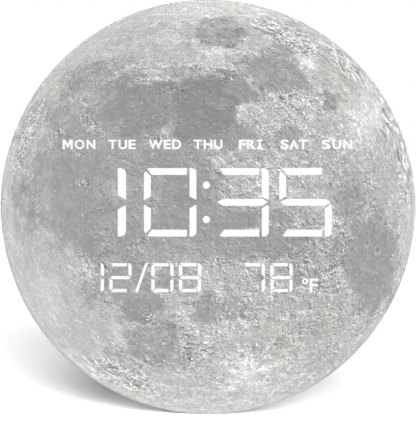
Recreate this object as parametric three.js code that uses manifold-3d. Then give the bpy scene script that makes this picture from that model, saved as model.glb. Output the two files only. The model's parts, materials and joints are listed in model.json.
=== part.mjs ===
// A round digital wall clock: a printed face with light-up segments, on a shallow plastic case.
// Millimetres, +Z up. The face looks along -Y. The plane y = 0 is the wall that the case hangs against.

import * as THREE from 'three';
import { mergeVertices } from 'three/addons/utils/BufferGeometryUtils.js';
import Module from 'manifold-3d';

const wasm = await Module();
wasm.setup();

// Face
const FACE_DIAMETER = 300;
const FACE_THICKNESS = 3;
const FACE_EDGE_ROUND = 1.2;
const FACE_EDGE_STEPS = 3;
const FACE_OVERHANG = 4;
const FACE_SIDES = 80;
const CASE_SIDES = 60;
const TAPE_THICKNESS = 1;
const TAPE_WIDTH = 6;
const TAPE_INSET = 2;

// Large digits of the time. The leading digit is only ever a 1, so it has two segments.
const DIGIT = { width: 37.9, height: 49.5, stroke: 4.95, gap: 1.9, cornerSteps: 2 };
const FULL_DIGITS = 3;
const LEAD_STROKE = 5.9;
const LEAD_GAP = 13;
const DIGIT_GAP = 7.6;
const COLON_SPACE = 14.4;
const COLON_DOT_RADIUS = 2.6;
const COLON_DOT_SPACING = 24.8;
const COLON_DOT_SIDES = 10;
const TIME_CENTRE_X = 12.1;
const TIME_CENTRE_Z = 3.4;

// Small digits of the date and the temperature
const SMALL_DIGIT = { width: 16, height: 21, stroke: 2.35, gap: 1.1, cornerSteps: 1 };
const SMALL_DIGIT_GAP = 4;
const SLASH_SPACE = 14.3;
const SLASH_STROKE = 2;
const SLASH_LEAN = 7.4;
const DATE_CENTRE_X = -48.1;
const TEMPERATURE_CENTRE_X = 52.9;
const UNIT_WINDOW_WIDTH = 13.6;
const UNIT_WINDOW_HEIGHT = 10.8;
const UNIT_GAP = 5.8;
const SMALL_ROW_GAP = 19.2;

// Weekday words, one window each
const WEEKDAYS = 7;
const WORD_PITCH = 31.1;
const WORD_WINDOW_WIDTH = 26.6;
const WORD_WINDOW_HEIGHT = 8.6;
const WORD_ROW_GAP = 12.8;
const WINDOW_CORNER = 1.2;
const WINDOW_CORNER_STEPS = 1;

// Corner cuts of a segment, in strokes, measured from the digit's corner or its middle line
const BAR_TIP = [0.43, 0.07];
const BAR_SHOULDER = 0.94;
const BAR_INNER = 1.14;
const SIDE_TIP = [0.23, 0.45];
const SIDE_SHOULDER = 0.84;
const SIDE_INNER = 1.2;
const SIDE_END_OUTER = 0.35;
const SIDE_END_INNER = 0.86;
const MIDDLE_TIP = 0.12;
const OUTER_ROUND = 0.7;

// Lenses, light mask and LED board
const LENS_CLEARANCE = 0.15;
const LENS_RECESS = 0.3;
const LENS_WEB_MARGIN = 2;
const LENS_WEB_CORNER = 3;
const MASK_DEPTH = 8;
const MASK_MARGIN = 1.5;
const MASK_CORNER = 5;
const MASK_CLEARANCE = 0.4;
const MASK_FLANGE = 3;
const MASK_FLANGE_THICKNESS = 2;
const BOARD_THICKNESS = 1.6;
const BOARD_MARGIN = 2;
const BOARD_CORNER = 40;
const BOARD_POST_X = 62;
const LED_SIZE = 1.2;
const LED_HEIGHT = 0.9;

// Case shells
const CASE_WALL = 2.5;
const CASE_EDGE_CHAMFER = 1;
const HOUSING_DEPTH = 16;
const FRONT_PLATE = 2;
const COVER_THICKNESS = 2;
const COVER_LIP_WIDTH = 2;
const COVER_LIP_HEIGHT = 3;
const COVER_FIT = 0.4;
const PLATEAU_WIDTH = 180;
const PLATEAU_HEIGHT = 136;
const PLATEAU_CENTRE_Z = -4;
const PLATEAU_CORNER = 24;
const PLATEAU_RISE = 12;
const PLATEAU_EDGE_ROUND = 1.2;
const ROUND_CORNER_STEPS = 5;
const EDGE_ROUND_STEPS = 2;
const VENTS = 7;
const VENT_WIDTH = 2.4;
const VENT_LENGTH = 16;
const VENT_PITCH = 7;
const VENT_EDGE = 20;
const VENT_END_STEPS = 2;

// Screws and the bosses that take them
const COVER_SCREW = { head: 3.2, headHeight: 2, shank: 1.4, length: 10 };
const SMALL_SCREW = { head: 2.3, headHeight: 1.5, shank: 1, length: 6 };
const SCREW_SIDES = 8;
const SCREW_CLEARANCE = 0.2;
const HEAD_CROWN_SHARE = 0.75;
const RECESS_WIDTH_SHARE = 0.28;
const RECESS_LENGTH_SHARE = 1.2;
const RECESS_DEPTH_SHARE = 0.6;
const COVER_SCREWS = 6;
const BOSS_RADIUS = 4.5;
const BOSS_WALL_INSET = 3.5;
const POST_RADIUS = 3.2;
const POST_GAP = 0.6;

// Keyhole hanger
const HANGER_PLATE_WIDTH = 40;
const HANGER_PLATE_HEIGHT = 34;
const HANGER_PLATE_THICKNESS = 1.2;
const HANGER_PLATE_CORNER = 3;
const HANGER_FIT = 0.3;
const HANGER_INSET = 27;
const HANGER_BLOCK_WALL = 3;
const HANGER_POCKET_WIDTH = 18;
const HANGER_POCKET_HEIGHT = 26;
const HANGER_POCKET_DEPTH = 7;
const HANGER_FLOOR = 1.6;
const KEYHOLE_ENTRY_RADIUS = 5;
const KEYHOLE_SLOT_WIDTH = 5;
const KEYHOLE_RISE = 11;
const KEYHOLE_SIDES = 12;
const HANGER_SCREW_EDGE = 5;

// Power jack
const JACK_OUTER_RADIUS = 3.6;
const JACK_BORE_RADIUS = 2.9;
const JACK_BORE_DEPTH = 9.5;
const JACK_PIN_RADIUS = 1;
const JACK_PIN_RECESS = 1;
const JACK_BODY = { width: 9, depth: 7.4, length: 11 };
const JACK_FIT = 0.25;
const JACK_SIDES = 16;

// Buttons, switches and their board
const BUTTON_NAMES = ['set', 'up', 'down'];
const BUTTON_PITCH = 26;
const BUTTON_EDGE = 32;
const BUTTON_RADIUS = 4.5;
const BUTTON_PROUD = 2.5;
const BUTTON_EDGE_CHAMFER = 0.6;
const BUTTON_FLANGE_RADIUS = 6;
const BUTTON_FLANGE_THICKNESS = 1.2;
const BUTTON_FIT = 0.3;
const BUTTON_REST_GAP = 0.2;
const BUTTON_TRAVEL = 0.8;
const BUTTON_SIDES = 16;
const SWITCH_SIZE = 6;
const SWITCH_HEIGHT = 3.5;
const SWITCH_STOP_GAP = 0.2;
const PLUNGER_RADIUS = 1.7;
const PLUNGER_REACH = 1.2;
const PLUNGER_FIT = 0.3;
const KEY_BOARD_MARGIN = 12;
const KEY_BOARD_HEIGHT = 14;
const KEY_BOARD_CORNER = 2;
const KEY_SCREW_EDGE = 4.5;

// Back-up cell and its door
const DOOR_LENGTH = 38;
const DOOR_WIDTH = 28;
const DOOR_THICKNESS = 1.8;
const DOOR_TONGUE = 1.2;
const DOOR_TONGUE_THICKNESS = 0.9;
const DOOR_FIT = 0.3;
const DOOR_CENTRE_Z = -20;
const DOOR_GRIP_RIBS = 4;
const DOOR_GRIP_RIB_WIDTH = 1.2;
const DOOR_GRIP_DEPTH = 0.6;
const DOOR_GRIP_LENGTH = 16;
const DOOR_GRIP_PITCH = 2.6;
const DOOR_GRIP_EDGE = 6;
const BATTERY_BLOCK_WALL = 4;
const BATTERY_FLOOR = 1.6;
const CELL_RADIUS = 10;
const CELL_THICKNESS = 3.2;
const CELL_CHAMFER = 0.5;
const CELL_FIT = 0.4;
const CELL_SIDES = 20;
const CONTACT_THICKNESS = 0.5;
const CONTACT_WIDTH = 5;
const CONTACT_FIT = 0.3;
const CONTACT_TAIL = 3;
const NEGATIVE_CONTACT_LENGTH = 12;

// Parts on the LED board: x, z from the board's centre, then width, length and height
const CLOCK_CHIP = { x: 18, z: 22, width: 7.6, length: 12.8, height: 2.4, legs: 5 };
const DRIVER_CHIPS = [
  { x: -28, z: 22, width: 5.4, length: 10, height: 1.8, legs: 4 },
  { x: 52, z: 22, width: 5.4, length: 10, height: 1.8, legs: 4 },
];
const CHIP_LEG = { pitch: 1.9, width: 0.8, reach: 1.2, thickness: 0.8 };
const CRYSTAL = { x: 18, z: 8, width: 4.2, length: 11, height: 3.4 };
const SENSOR = { x: 66, z: -30, radius: 2.4, flat: 1.2, height: 4.6, sides: 12 };
const POWER_PLUG = { x: 0, z: -34, width: 7.5, length: 6, height: 5 };
const CELL_PLUG = { x: -44, z: -12, width: 6, length: 7.5, height: 5 };
const KEY_PLUG = { x: 0, width: 12, length: 5, height: 2.6, edge: 4 };
const PLUG_KEY = { width: 2.5, depth: 1 };

// Leads inside the case
const LEAD_RADIUS = 0.65;
const LEAD_SIDES = 8;
const LEAD_STEPS = 10;
const LEAD_PITCH = 2.5;
const LEAD_END_GAP = 0.3;
const LEAD_STRAIGHT = 2.5;
const RIBBON_WIDTH = 9;
const RIBBON_THICKNESS = 0.6;
const RIBBON_STEPS = 8;

// Finishes
const FINISH = {
  print: { color: 0xb9b9bb, roughness: 0.75, metalness: 0 },
  shell: { color: 0x555557, roughness: 0.55, metalness: 0 },
  lens: { color: 0xffffff, roughness: 0.35, metalness: 0 },
  mask: { color: 0xe2e2e0, roughness: 0.7, metalness: 0 },
  board: { color: 0x1f5a3a, roughness: 0.5, metalness: 0 },
  chip: { color: 0x1b1b1d, roughness: 0.6, metalness: 0 },
  plug: { color: 0xf0ece0, roughness: 0.5, metalness: 0 },
  steel: { color: 0xb4b6b8, roughness: 0.35, metalness: 1 },
  tape: { color: 0x3a3a3c, roughness: 0.9, metalness: 0 },
  key: { color: 0xa6a6a8, roughness: 0.6, metalness: 0 },
  red: { color: 0xb02020, roughness: 0.6, metalness: 0 },
  black: { color: 0x202022, roughness: 0.6, metalness: 0 },
  ribbon: { color: 0x8f9296, roughness: 0.6, metalness: 0 },
};

// Depths, from the wall forward
const coverBack = -PLATEAU_RISE;
const coverFront = coverBack - COVER_THICKNESS;
const housingFront = coverFront - HOUSING_DEPTH;
const plateBack = housingFront + FRONT_PLATE;
const faceBack = housingFront - TAPE_THICKNESS;
const faceFront = faceBack - FACE_THICKNESS;
const maskBack = housingFront + MASK_DEPTH;
const boardBack = maskBack + BOARD_THICKNESS;

// Radii
const faceRadius = FACE_DIAMETER / 2;
const caseRadius = faceRadius - FACE_OVERHANG;
const caseInner = caseRadius - CASE_WALL;
const bossCircle = caseInner - BOSS_WALL_INSET;

// A cutter runs past the face that it opens by this much.
const PAST = 1;

// Outlines in the plane of the face, as x and z points

function circle(radius, sides, x = 0, z = 0) {
  return Array.from({ length: sides }, (_, i) => {
    const angle = (2 * Math.PI * i) / sides;
    return new THREE.Vector2(x + radius * Math.cos(angle), z + radius * Math.sin(angle));
  });
}

function rectangle(width, height, x = 0, z = 0) {
  const corners = [[-1, -1], [1, -1], [1, 1], [-1, 1]];
  return corners.map(([i, j]) => new THREE.Vector2(x + (i * width) / 2, z + (j * height) / 2));
}

function roundedRectangle(width, height, corner, x = 0, z = 0, steps = ROUND_CORNER_STEPS) {
  const round = Math.min(corner, width / 2, height / 2);
  const points = [];
  const quarters = [[1, -1], [1, 1], [-1, 1], [-1, -1]];
  quarters.forEach(([i, j], quarter) => {
    for (let step = 0; step <= steps; step += 1) {
      const angle = (Math.PI / 2) * (quarter - 1 + step / steps);
      const cx = x + i * (width / 2 - round);
      const cz = z + j * (height / 2 - round);
      points.push(new THREE.Vector2(cx + round * Math.cos(angle), cz + round * Math.sin(angle)));
    }
  });
  return points;
}

function moved(outline, x, z) {
  return outline.map((point) => new THREE.Vector2(point.x + x, point.y + z));
}

// A convex outline pushed out by the same margin on every side.
function grown(outline, margin) {
  const turn = Math.sign(THREE.ShapeUtils.area(outline));
  const count = outline.length;
  const sides = outline.map((from, i) => {
    const along = outline[(i + 1) % count].clone().sub(from).normalize();
    const outward = new THREE.Vector2(along.y, -along.x).multiplyScalar(turn * margin);
    return { start: from.clone().add(outward), along };
  });
  return sides.map((side, i) => {
    const before = sides[(i + count - 1) % count];
    const gap = side.start.clone().sub(before.start);
    const run = gap.cross(side.along) / before.along.cross(side.along);
    return before.start.clone().addScaledVector(before.along, run);
  });
}

function boxOf(outlines) {
  return new THREE.Box2().setFromPoints(outlines.flat());
}

function aroundBox(box, margin, corner) {
  const size = box.getSize(new THREE.Vector2());
  const middle = box.getCenter(new THREE.Vector2());
  return roundedRectangle(size.x + 2 * margin, size.y + 2 * margin, corner, middle.x, middle.y);
}

// Solids

// Turns the plane of a drawn outline upright: x stays, y becomes z and depth runs forward along -Y.
const UPRIGHT = new THREE.Matrix4().set(1, 0, 0, 0, 0, 0, -1, 0, 0, 1, 0, 0, 0, 0, 0, 1);

// Turns a drawn outline side on: its x becomes y, its y becomes z and depth runs along X.
const SIDEWAYS = new THREE.Matrix4().set(0, 0, 1, 0, 1, 0, 0, 0, 0, 1, 0, 0, 0, 0, 0, 1);

function plate(outline, back, front, edgeRound = 0) {
  const geometry = new THREE.ExtrudeGeometry(new THREE.Shape(outline), {
    depth: back - front - 2 * edgeRound,
    bevelEnabled: edgeRound > 0,
    bevelThickness: edgeRound,
    bevelSize: edgeRound,
    bevelOffset: -edgeRound,
    bevelSegments: EDGE_ROUND_STEPS,
  });
  return geometry.translate(0, 0, edgeRound).applyMatrix4(UPRIGHT).translate(0, back, 0);
}

// A profile in x and y, drawn out along Z.
function bar(profile, bottom, top) {
  const shape = new THREE.Shape(profile);
  const geometry = new THREE.ExtrudeGeometry(shape, { depth: top - bottom, bevelEnabled: false });
  return geometry.translate(0, 0, bottom);
}

function block(width, depth, height) {
  return new THREE.BoxGeometry(width, depth, height);
}

// A profile of radius and y, from the axis at the front round to the axis at the back.
function turned(profile, sides) {
  const points = profile.map(([radius, y]) => new THREE.Vector2(radius, y));
  return new THREE.LatheGeometry(points, sides);
}

function ring(inner, outer, back, front, sides) {
  return turned([[inner, front], [outer, front], [outer, back], [inner, back], [inner, front]], sides);
}

function post(radius, back, front, sides, x = 0, z = 0) {
  const profile = [[0, front], [radius, front], [radius, back], [0, back]];
  return turned(profile, sides).translate(x, 0, z);
}

function solidOf(geometry) {
  const bare = geometry.clone();
  bare.deleteAttribute('normal');
  bare.deleteAttribute('uv');
  const merged = mergeVertices(bare);
  const triVerts = [];
  for (let i = 0; i < merged.index.count; i += 3) {
    const corners = [0, 1, 2].map((k) => merged.index.getX(i + k));
    if (new Set(corners).size === 3) {
      triVerts.push(...corners);
    }
  }
  const vertProperties = Float32Array.from(merged.attributes.position.array);
  const mesh = new wasm.Mesh({ numProp: 3, vertProperties, triVerts: Uint32Array.from(triVerts) });
  return new wasm.Manifold(mesh);
}

function geometryOf(solid) {
  const mesh = solid.getMesh();
  const geometry = new THREE.BufferGeometry();
  geometry.setAttribute('position', new THREE.BufferAttribute(mesh.vertProperties, 3));
  geometry.setIndex(new THREE.BufferAttribute(mesh.triVerts, 1));
  return geometry;
}

function joined(pieces) {
  const [first, ...others] = pieces.map(solidOf);
  return geometryOf(others.reduce((sum, piece) => sum.add(piece), first));
}

function carved(body, cutters) {
  return geometryOf(cutters.map(solidOf).reduce((rest, cutter) => rest.subtract(cutter), solidOf(body)));
}

// Scene graph

function add(group, name, geometry, finish, x = 0, y = 0, z = 0) {
  const mesh = new THREE.Mesh(geometry, new THREE.MeshStandardMaterial({ ...finish, flatShading: true }));
  mesh.name = name;
  mesh.position.set(x, y, z);
  group.add(mesh);
  return mesh;
}

// Outlines of the display

// The seven segments of a digit, from its left edge and middle height.
function digitSegments({ width, height, stroke, gap, cornerSteps }) {
  const top = height / 2;
  const inner = width - stroke;
  const round = OUTER_ROUND * stroke;
  const pointsOf = (pairs) => pairs.map(([x, z]) => new THREE.Vector2(x, z));
  const bar = pointsOf([
    [BAR_TIP[0] * stroke, top - BAR_TIP[1] * stroke],
    [BAR_SHOULDER * stroke, top],
    [inner - gap, top],
    [inner - gap, top - stroke],
    [BAR_INNER * stroke, top - stroke],
  ]);
  const left = pointsOf([
    [SIDE_TIP[0] * stroke, top - SIDE_TIP[1] * stroke],
    [stroke, top - SIDE_INNER * stroke],
    [stroke, SIDE_END_INNER * stroke],
    [0, SIDE_END_OUTER * stroke],
    [0, top - SIDE_SHOULDER * stroke],
  ]);
  const corner = Array.from({ length: cornerSteps + 1 }, (_, i) => {
    const angle = (Math.PI / 2) * (1 - i / cornerSteps);
    return [width - round + round * Math.cos(angle), top - round + round * Math.sin(angle)];
  });
  const right = pointsOf([
    [inner, top],
    ...corner,
    [width, SIDE_END_OUTER * stroke],
    [inner, SIDE_END_INNER * stroke],
  ]);
  const middle = pointsOf([
    [MIDDLE_TIP * stroke, 0],
    [stroke, stroke / 2],
    [inner, stroke / 2],
    [width - MIDDLE_TIP * stroke, 0],
    [inner, -stroke / 2],
    [stroke, -stroke / 2],
  ]);
  const mirrored = (outline) => outline.map((point) => new THREE.Vector2(point.x, -point.y));
  return {
    a: bar,
    b: right,
    c: mirrored(right),
    d: mirrored(bar),
    e: mirrored(left),
    f: left,
    g: middle,
  };
}

function digitAt(digit, x, z) {
  return Object.values(digitSegments(digit)).map((outline) => moved(outline, x, z));
}

function timeOutlines() {
  const lead = digitSegments({ ...DIGIT, width: LEAD_STROKE, stroke: LEAD_STROKE });
  const width = LEAD_STROKE + LEAD_GAP + FULL_DIGITS * DIGIT.width + COLON_SPACE + DIGIT_GAP;
  const leadX = TIME_CENTRE_X - width / 2;
  const hourX = leadX + LEAD_STROKE + LEAD_GAP;
  const colonX = hourX + DIGIT.width + COLON_SPACE / 2;
  const tensX = colonX + COLON_SPACE / 2;
  const unitsX = tensX + DIGIT.width + DIGIT_GAP;
  const digits = [hourX, tensX, unitsX].flatMap((x) => digitAt(DIGIT, x, TIME_CENTRE_Z));
  const dots = [1, -1].map((side) => {
    const z = TIME_CENTRE_Z + (side * COLON_DOT_SPACING) / 2;
    return circle(COLON_DOT_RADIUS, COLON_DOT_SIDES, colonX, z);
  });
  const leading = [lead.b, lead.c].map((outline) => moved(outline, leadX, TIME_CENTRE_Z));
  return [...leading, ...digits, ...dots];
}

const smallRowZ = TIME_CENTRE_Z - DIGIT.height / 2 - SMALL_ROW_GAP - SMALL_DIGIT.height / 2;
const wordRowZ = TIME_CENTRE_Z + DIGIT.height / 2 + WORD_ROW_GAP + WORD_WINDOW_HEIGHT / 2;

function dateOutlines() {
  const step = SMALL_DIGIT.width + SMALL_DIGIT_GAP;
  const pair = SMALL_DIGIT.width + step;
  const firstX = DATE_CENTRE_X - SLASH_SPACE / 2 - pair;
  const secondX = DATE_CENTRE_X + SLASH_SPACE / 2;
  const starts = [firstX, firstX + step, secondX, secondX + step];
  const digits = starts.flatMap((x) => digitAt(SMALL_DIGIT, x, smallRowZ));
  const reach = SMALL_DIGIT.height / 2;
  const slash = [[-1, -1], [1, -1], [1, 1], [-1, 1]].map(([side, end]) => {
    const x = DATE_CENTRE_X + (side * SLASH_STROKE) / 2 + (end * SLASH_LEAN) / 2;
    return new THREE.Vector2(x, smallRowZ + end * reach);
  });
  return [...digits, slash];
}

function windowOutline(width, height, x, z) {
  return roundedRectangle(width, height, WINDOW_CORNER, x, z, WINDOW_CORNER_STEPS);
}

function temperatureOutlines() {
  const step = SMALL_DIGIT.width + SMALL_DIGIT_GAP;
  const width = SMALL_DIGIT.width + step + UNIT_GAP + UNIT_WINDOW_WIDTH;
  const firstX = TEMPERATURE_CENTRE_X - width / 2;
  const digits = [firstX, firstX + step].flatMap((x) => digitAt(SMALL_DIGIT, x, smallRowZ));
  const unitX = firstX + width - UNIT_WINDOW_WIDTH / 2;
  const unitZ = smallRowZ - (SMALL_DIGIT.height - UNIT_WINDOW_HEIGHT) / 2;
  return [...digits, windowOutline(UNIT_WINDOW_WIDTH, UNIT_WINDOW_HEIGHT, unitX, unitZ)];
}

function weekdayOutlines() {
  return Array.from({ length: WEEKDAYS }, (_, i) => {
    const x = (i - (WEEKDAYS - 1) / 2) * WORD_PITCH;
    return windowOutline(WORD_WINDOW_WIDTH, WORD_WINDOW_HEIGHT, x, wordRowZ);
  });
}

const lensOutlines = {
  time_lens: timeOutlines(),
  weekday_lens: weekdayOutlines(),
  date_lens: dateOutlines(),
  temperature_lens: temperatureOutlines(),
};
const segmentOutlines = Object.values(lensOutlines).flat();
const displayBox = boxOf(segmentOutlines);
const noseMargin = LENS_WEB_MARGIN + MASK_MARGIN;
const flangeMargin = noseMargin + MASK_FLANGE;

// LED board, held on posts above and below the mask's flange
const boardMiddleX = (displayBox.min.x + displayBox.max.x) / 2;
const boardMiddleZ = (displayBox.min.y + displayBox.max.y) / 2;
const boardPostZ = (displayBox.max.y - displayBox.min.y) / 2 + flangeMargin + POST_RADIUS + POST_GAP;
const boardHalfHeight = boardPostZ + POST_RADIUS + BOARD_MARGIN;
const boardHalfWidth = (displayBox.max.x - displayBox.min.x) / 2 + flangeMargin + BOARD_MARGIN;
const boardPosts = [[-1, 1], [1, 1], [-1, -1], [1, -1]].map(([i, j]) => ({
  x: boardMiddleX + i * BOARD_POST_X,
  z: boardMiddleZ + j * boardPostZ,
}));

const coverScrewPlaces = Array.from({ length: COVER_SCREWS }, (_, i) => {
  const angle = (2 * Math.PI * i) / COVER_SCREWS;
  return { x: bossCircle * Math.cos(angle), z: bossCircle * Math.sin(angle) };
});

// Plateau of the rear cover
const plateauBottom = PLATEAU_CENTRE_Z - PLATEAU_HEIGHT / 2;
const plateauTop = PLATEAU_CENTRE_Z + PLATEAU_HEIGHT / 2;
const plateauLeft = -PLATEAU_WIDTH / 2;

// Front: face, tape, lenses, mask and housing

function buildFront() {
  const front = new THREE.Group();
  const rim = faceRadius - FACE_EDGE_ROUND;
  const edge = Array.from({ length: FACE_EDGE_STEPS + 1 }, (_, i) => {
    const angle = (Math.PI / 2) * (1 - i / FACE_EDGE_STEPS);
    const out = FACE_EDGE_ROUND * Math.cos(angle);
    const forward = FACE_EDGE_ROUND * (1 - Math.sin(angle));
    return [rim + out, faceFront + forward];
  });
  const disc = turned([[0, faceFront], ...edge, [faceRadius, faceBack], [0, faceBack]], FACE_SIDES);
  const windows = segmentOutlines.map((outline) => {
    return plate(grown(outline, LENS_CLEARANCE), faceBack + PAST, faceFront - PAST);
  });
  add(front, 'face_panel', carved(disc, windows), FINISH.print);

  const tapeOuter = caseRadius - TAPE_INSET;
  const tape = ring(tapeOuter - TAPE_WIDTH, tapeOuter, housingFront, faceBack, CASE_SIDES);
  add(front, 'face_tape', tape, FINISH.tape);

  Object.entries(lensOutlines).forEach(([name, outlines]) => {
    const webOutline = aroundBox(boxOf(outlines), LENS_WEB_MARGIN, LENS_WEB_CORNER);
    const web = plate(webOutline, housingFront, faceBack);
    const tips = outlines.map((outline) => plate(outline, housingFront, faceFront + LENS_RECESS));
    add(front, name, joined([web, ...tips]), FINISH.lens);
  });

  const nose = plate(aroundBox(displayBox, noseMargin, MASK_CORNER), maskBack, housingFront);
  const flangeBack = plateBack + MASK_FLANGE_THICKNESS;
  const flange = plate(aroundBox(displayBox, flangeMargin, MASK_CORNER), flangeBack, plateBack);
  const cells = segmentOutlines.map((outline) => plate(outline, maskBack + PAST, housingFront - PAST));
  add(front, 'light_mask', carved(joined([nose, flange]), cells), FINISH.mask);
  add(front, 'front_housing', housing(), FINISH.shell);
  return front;
}

function housing() {
  const dish = turned([
    [0, housingFront],
    [caseRadius - CASE_EDGE_CHAMFER, housingFront],
    [caseRadius, housingFront + CASE_EDGE_CHAMFER],
    [caseRadius, coverFront],
    [caseInner, coverFront],
    [caseInner, plateBack],
    [0, plateBack],
  ], CASE_SIDES);
  const middle = plateBack - FRONT_PLATE / 2;
  const bosses = coverScrewPlaces.map(({ x, z }) => {
    return post(BOSS_RADIUS, coverFront, middle, SCREW_SIDES, x, z);
  });
  const posts = boardPosts.map(({ x, z }) => post(POST_RADIUS, maskBack, middle, SCREW_SIDES, x, z));
  const opening = plate(
    aroundBox(displayBox, noseMargin + MASK_CLEARANCE, MASK_CORNER + MASK_CLEARANCE),
    plateBack + PAST,
    housingFront - PAST,
  );
  const bossBore = COVER_SCREW.shank + SCREW_CLEARANCE;
  const bossFloor = coverBack - COVER_SCREW.length - SCREW_CLEARANCE;
  const bossBores = coverScrewPlaces.map(({ x, z }) => {
    return post(bossBore, coverFront + PAST, bossFloor, SCREW_SIDES, x, z);
  });
  const postBore = SMALL_SCREW.shank + SCREW_CLEARANCE;
  const postFloor = boardBack - SMALL_SCREW.length - SCREW_CLEARANCE;
  const postBores = boardPosts.map(({ x, z }) => {
    return post(postBore, maskBack + PAST, postFloor, SCREW_SIDES, x, z);
  });
  return carved(joined([dish, ...bosses, ...posts]), [opening, ...bossBores, ...postBores]);
}

// LED board and what is soldered to it

function screw({ head, headHeight, shank, length }) {
  const body = turned([
    [0, -length],
    [shank, -length],
    [shank, 0],
    [head, 0],
    [head, headHeight / 2],
    [HEAD_CROWN_SHARE * head, headHeight],
    [0, headHeight],
  ], SCREW_SIDES);
  const width = RECESS_WIDTH_SHARE * head;
  const reach = RECESS_LENGTH_SHARE * head;
  const depth = 2 * RECESS_DEPTH_SHARE * headHeight;
  const slots = [[reach, width], [width, reach]].map(([across, up]) => {
    return block(across, depth, up).translate(0, headHeight, 0);
  });
  return carved(body, slots);
}

function chip({ width, length, height, legs }) {
  const body = plate(rectangle(length, width), height, CHIP_LEG.thickness / 2);
  const legRow = plate(rectangle(length, CHIP_LEG.width), CHIP_LEG.thickness, 0);
  const first = -((legs - 1) * CHIP_LEG.pitch) / 2;
  const legBlocks = Array.from({ length: legs }, (_, i) => {
    const outline = rectangle(CHIP_LEG.width, width + 2 * CHIP_LEG.reach, first + i * CHIP_LEG.pitch, 0);
    return plate(outline, CHIP_LEG.thickness, 0);
  });
  return joined([body, legRow, ...legBlocks]);
}

// A connector with a key rib on the side that faces up.
function plugHousing({ width, length, height }) {
  const shell = plate(rectangle(width, length), height, 0);
  const rib = plate(rectangle(PLUG_KEY.width, 2 * PLUG_KEY.depth, 0, length / 2), height / 2, 0);
  return joined([shell, rib]);
}

function buildBoard() {
  const board = new THREE.Group();
  const outline = roundedRectangle(
    2 * boardHalfWidth,
    2 * boardHalfHeight,
    BOARD_CORNER,
    boardMiddleX,
    boardMiddleZ,
  );
  const sheet = plate(outline, boardBack, maskBack);
  const bores = boardPosts.map(({ x, z }) => {
    return post(SMALL_SCREW.shank + SCREW_CLEARANCE, boardBack + PAST, maskBack - PAST, SCREW_SIDES, x, z);
  });
  const middle = (boardBack + maskBack) / 2;
  const leds = segmentOutlines.map((segment) => {
    const centre = boxOf([segment]).getCenter(new THREE.Vector2());
    return plate(rectangle(LED_SIZE, LED_SIZE, centre.x, centre.y), middle, maskBack - LED_HEIGHT);
  });
  add(board, 'led_board', joined([carved(sheet, bores), ...leds]), FINISH.board);

  boardPosts.forEach(({ x, z }, i) => {
    add(board, `board_screw_${i + 1}`, screw(SMALL_SCREW), FINISH.steel, x, boardBack, z);
  });
  const onBoard = (name, geometry, finish, { x, z }) => {
    add(board, name, geometry, finish, boardMiddleX + x, boardBack, boardMiddleZ + z);
  };
  onBoard('clock_chip', chip(CLOCK_CHIP), FINISH.chip, CLOCK_CHIP);
  DRIVER_CHIPS.forEach((driver, i) => {
    onBoard(`led_driver_${i + 1}`, chip(driver), FINISH.chip, driver);
  });
  const can = roundedRectangle(CRYSTAL.length, CRYSTAL.width, CRYSTAL.width / 2);
  onBoard('crystal', plate(can, CRYSTAL.height, 0), FINISH.steel, CRYSTAL);
  const sensor = circle(SENSOR.radius, SENSOR.sides).map((point) => {
    return new THREE.Vector2(point.x, Math.max(point.y, -SENSOR.flat));
  });
  onBoard('temperature_sensor', plate(sensor, SENSOR.height, 0), FINISH.chip, SENSOR);
  onBoard('power_connector', plugHousing(POWER_PLUG), FINISH.plug, POWER_PLUG);
  onBoard('cell_connector', plugHousing(CELL_PLUG), FINISH.plug, CELL_PLUG);
  onBoard('key_connector', plugHousing(KEY_PLUG), FINISH.plug, { x: KEY_PLUG.x, z: keyPlugZ });
  return board;
}

const keyPlugZ = KEY_PLUG.edge + KEY_PLUG.length / 2 - boardHalfHeight;

// Rear cover, with the pockets for the hanger and the cell

const hangerZ = plateauTop - HANGER_INSET;
const hangerScrewXs = [-1, 1].map((side) => side * (HANGER_PLATE_WIDTH / 2 - HANGER_SCREW_EDGE));
const hangerRecess = SMALL_SCREW.headHeight + HANGER_PLATE_THICKNESS;
const hangerPocketFront = -hangerRecess - HANGER_POCKET_DEPTH;
const hangerBlockFront = hangerPocketFront - HANGER_FLOOR;

const doorRecess = DOOR_THICKNESS + DOOR_FIT;
const cellPocket = CELL_THICKNESS + CONTACT_THICKNESS + CELL_FIT;
const cellPocketFront = -doorRecess - cellPocket;
const batteryFront = cellPocketFront - BATTERY_FLOOR;
const cellX = plateauLeft + DOOR_LENGTH / 2;
const doorInnerX = plateauLeft + DOOR_LENGTH;

const jackY = -PLATEAU_RISE / 2;
const jackBodyBottom = plateauBottom + COVER_THICKNESS;

const buttonZ = -caseRadius + BUTTON_EDGE;
const buttonXs = BUTTON_NAMES.map((_, i) => (i - (BUTTON_NAMES.length - 1) / 2) * BUTTON_PITCH);
const flangeFront = coverFront - BUTTON_REST_GAP - BUTTON_FLANGE_THICKNESS;
const switchBack = flangeFront - BUTTON_TRAVEL - SWITCH_STOP_GAP;
const keyBoardBack = switchBack - SWITCH_HEIGHT;
const keyBoardFront = keyBoardBack - BOARD_THICKNESS;
const keyBoardWidth = (BUTTON_NAMES.length - 1) * BUTTON_PITCH + SWITCH_SIZE + 2 * KEY_BOARD_MARGIN;
const keyScrewXs = [-1, 1].map((side) => side * (keyBoardWidth / 2 - KEY_SCREW_EDGE));

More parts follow.
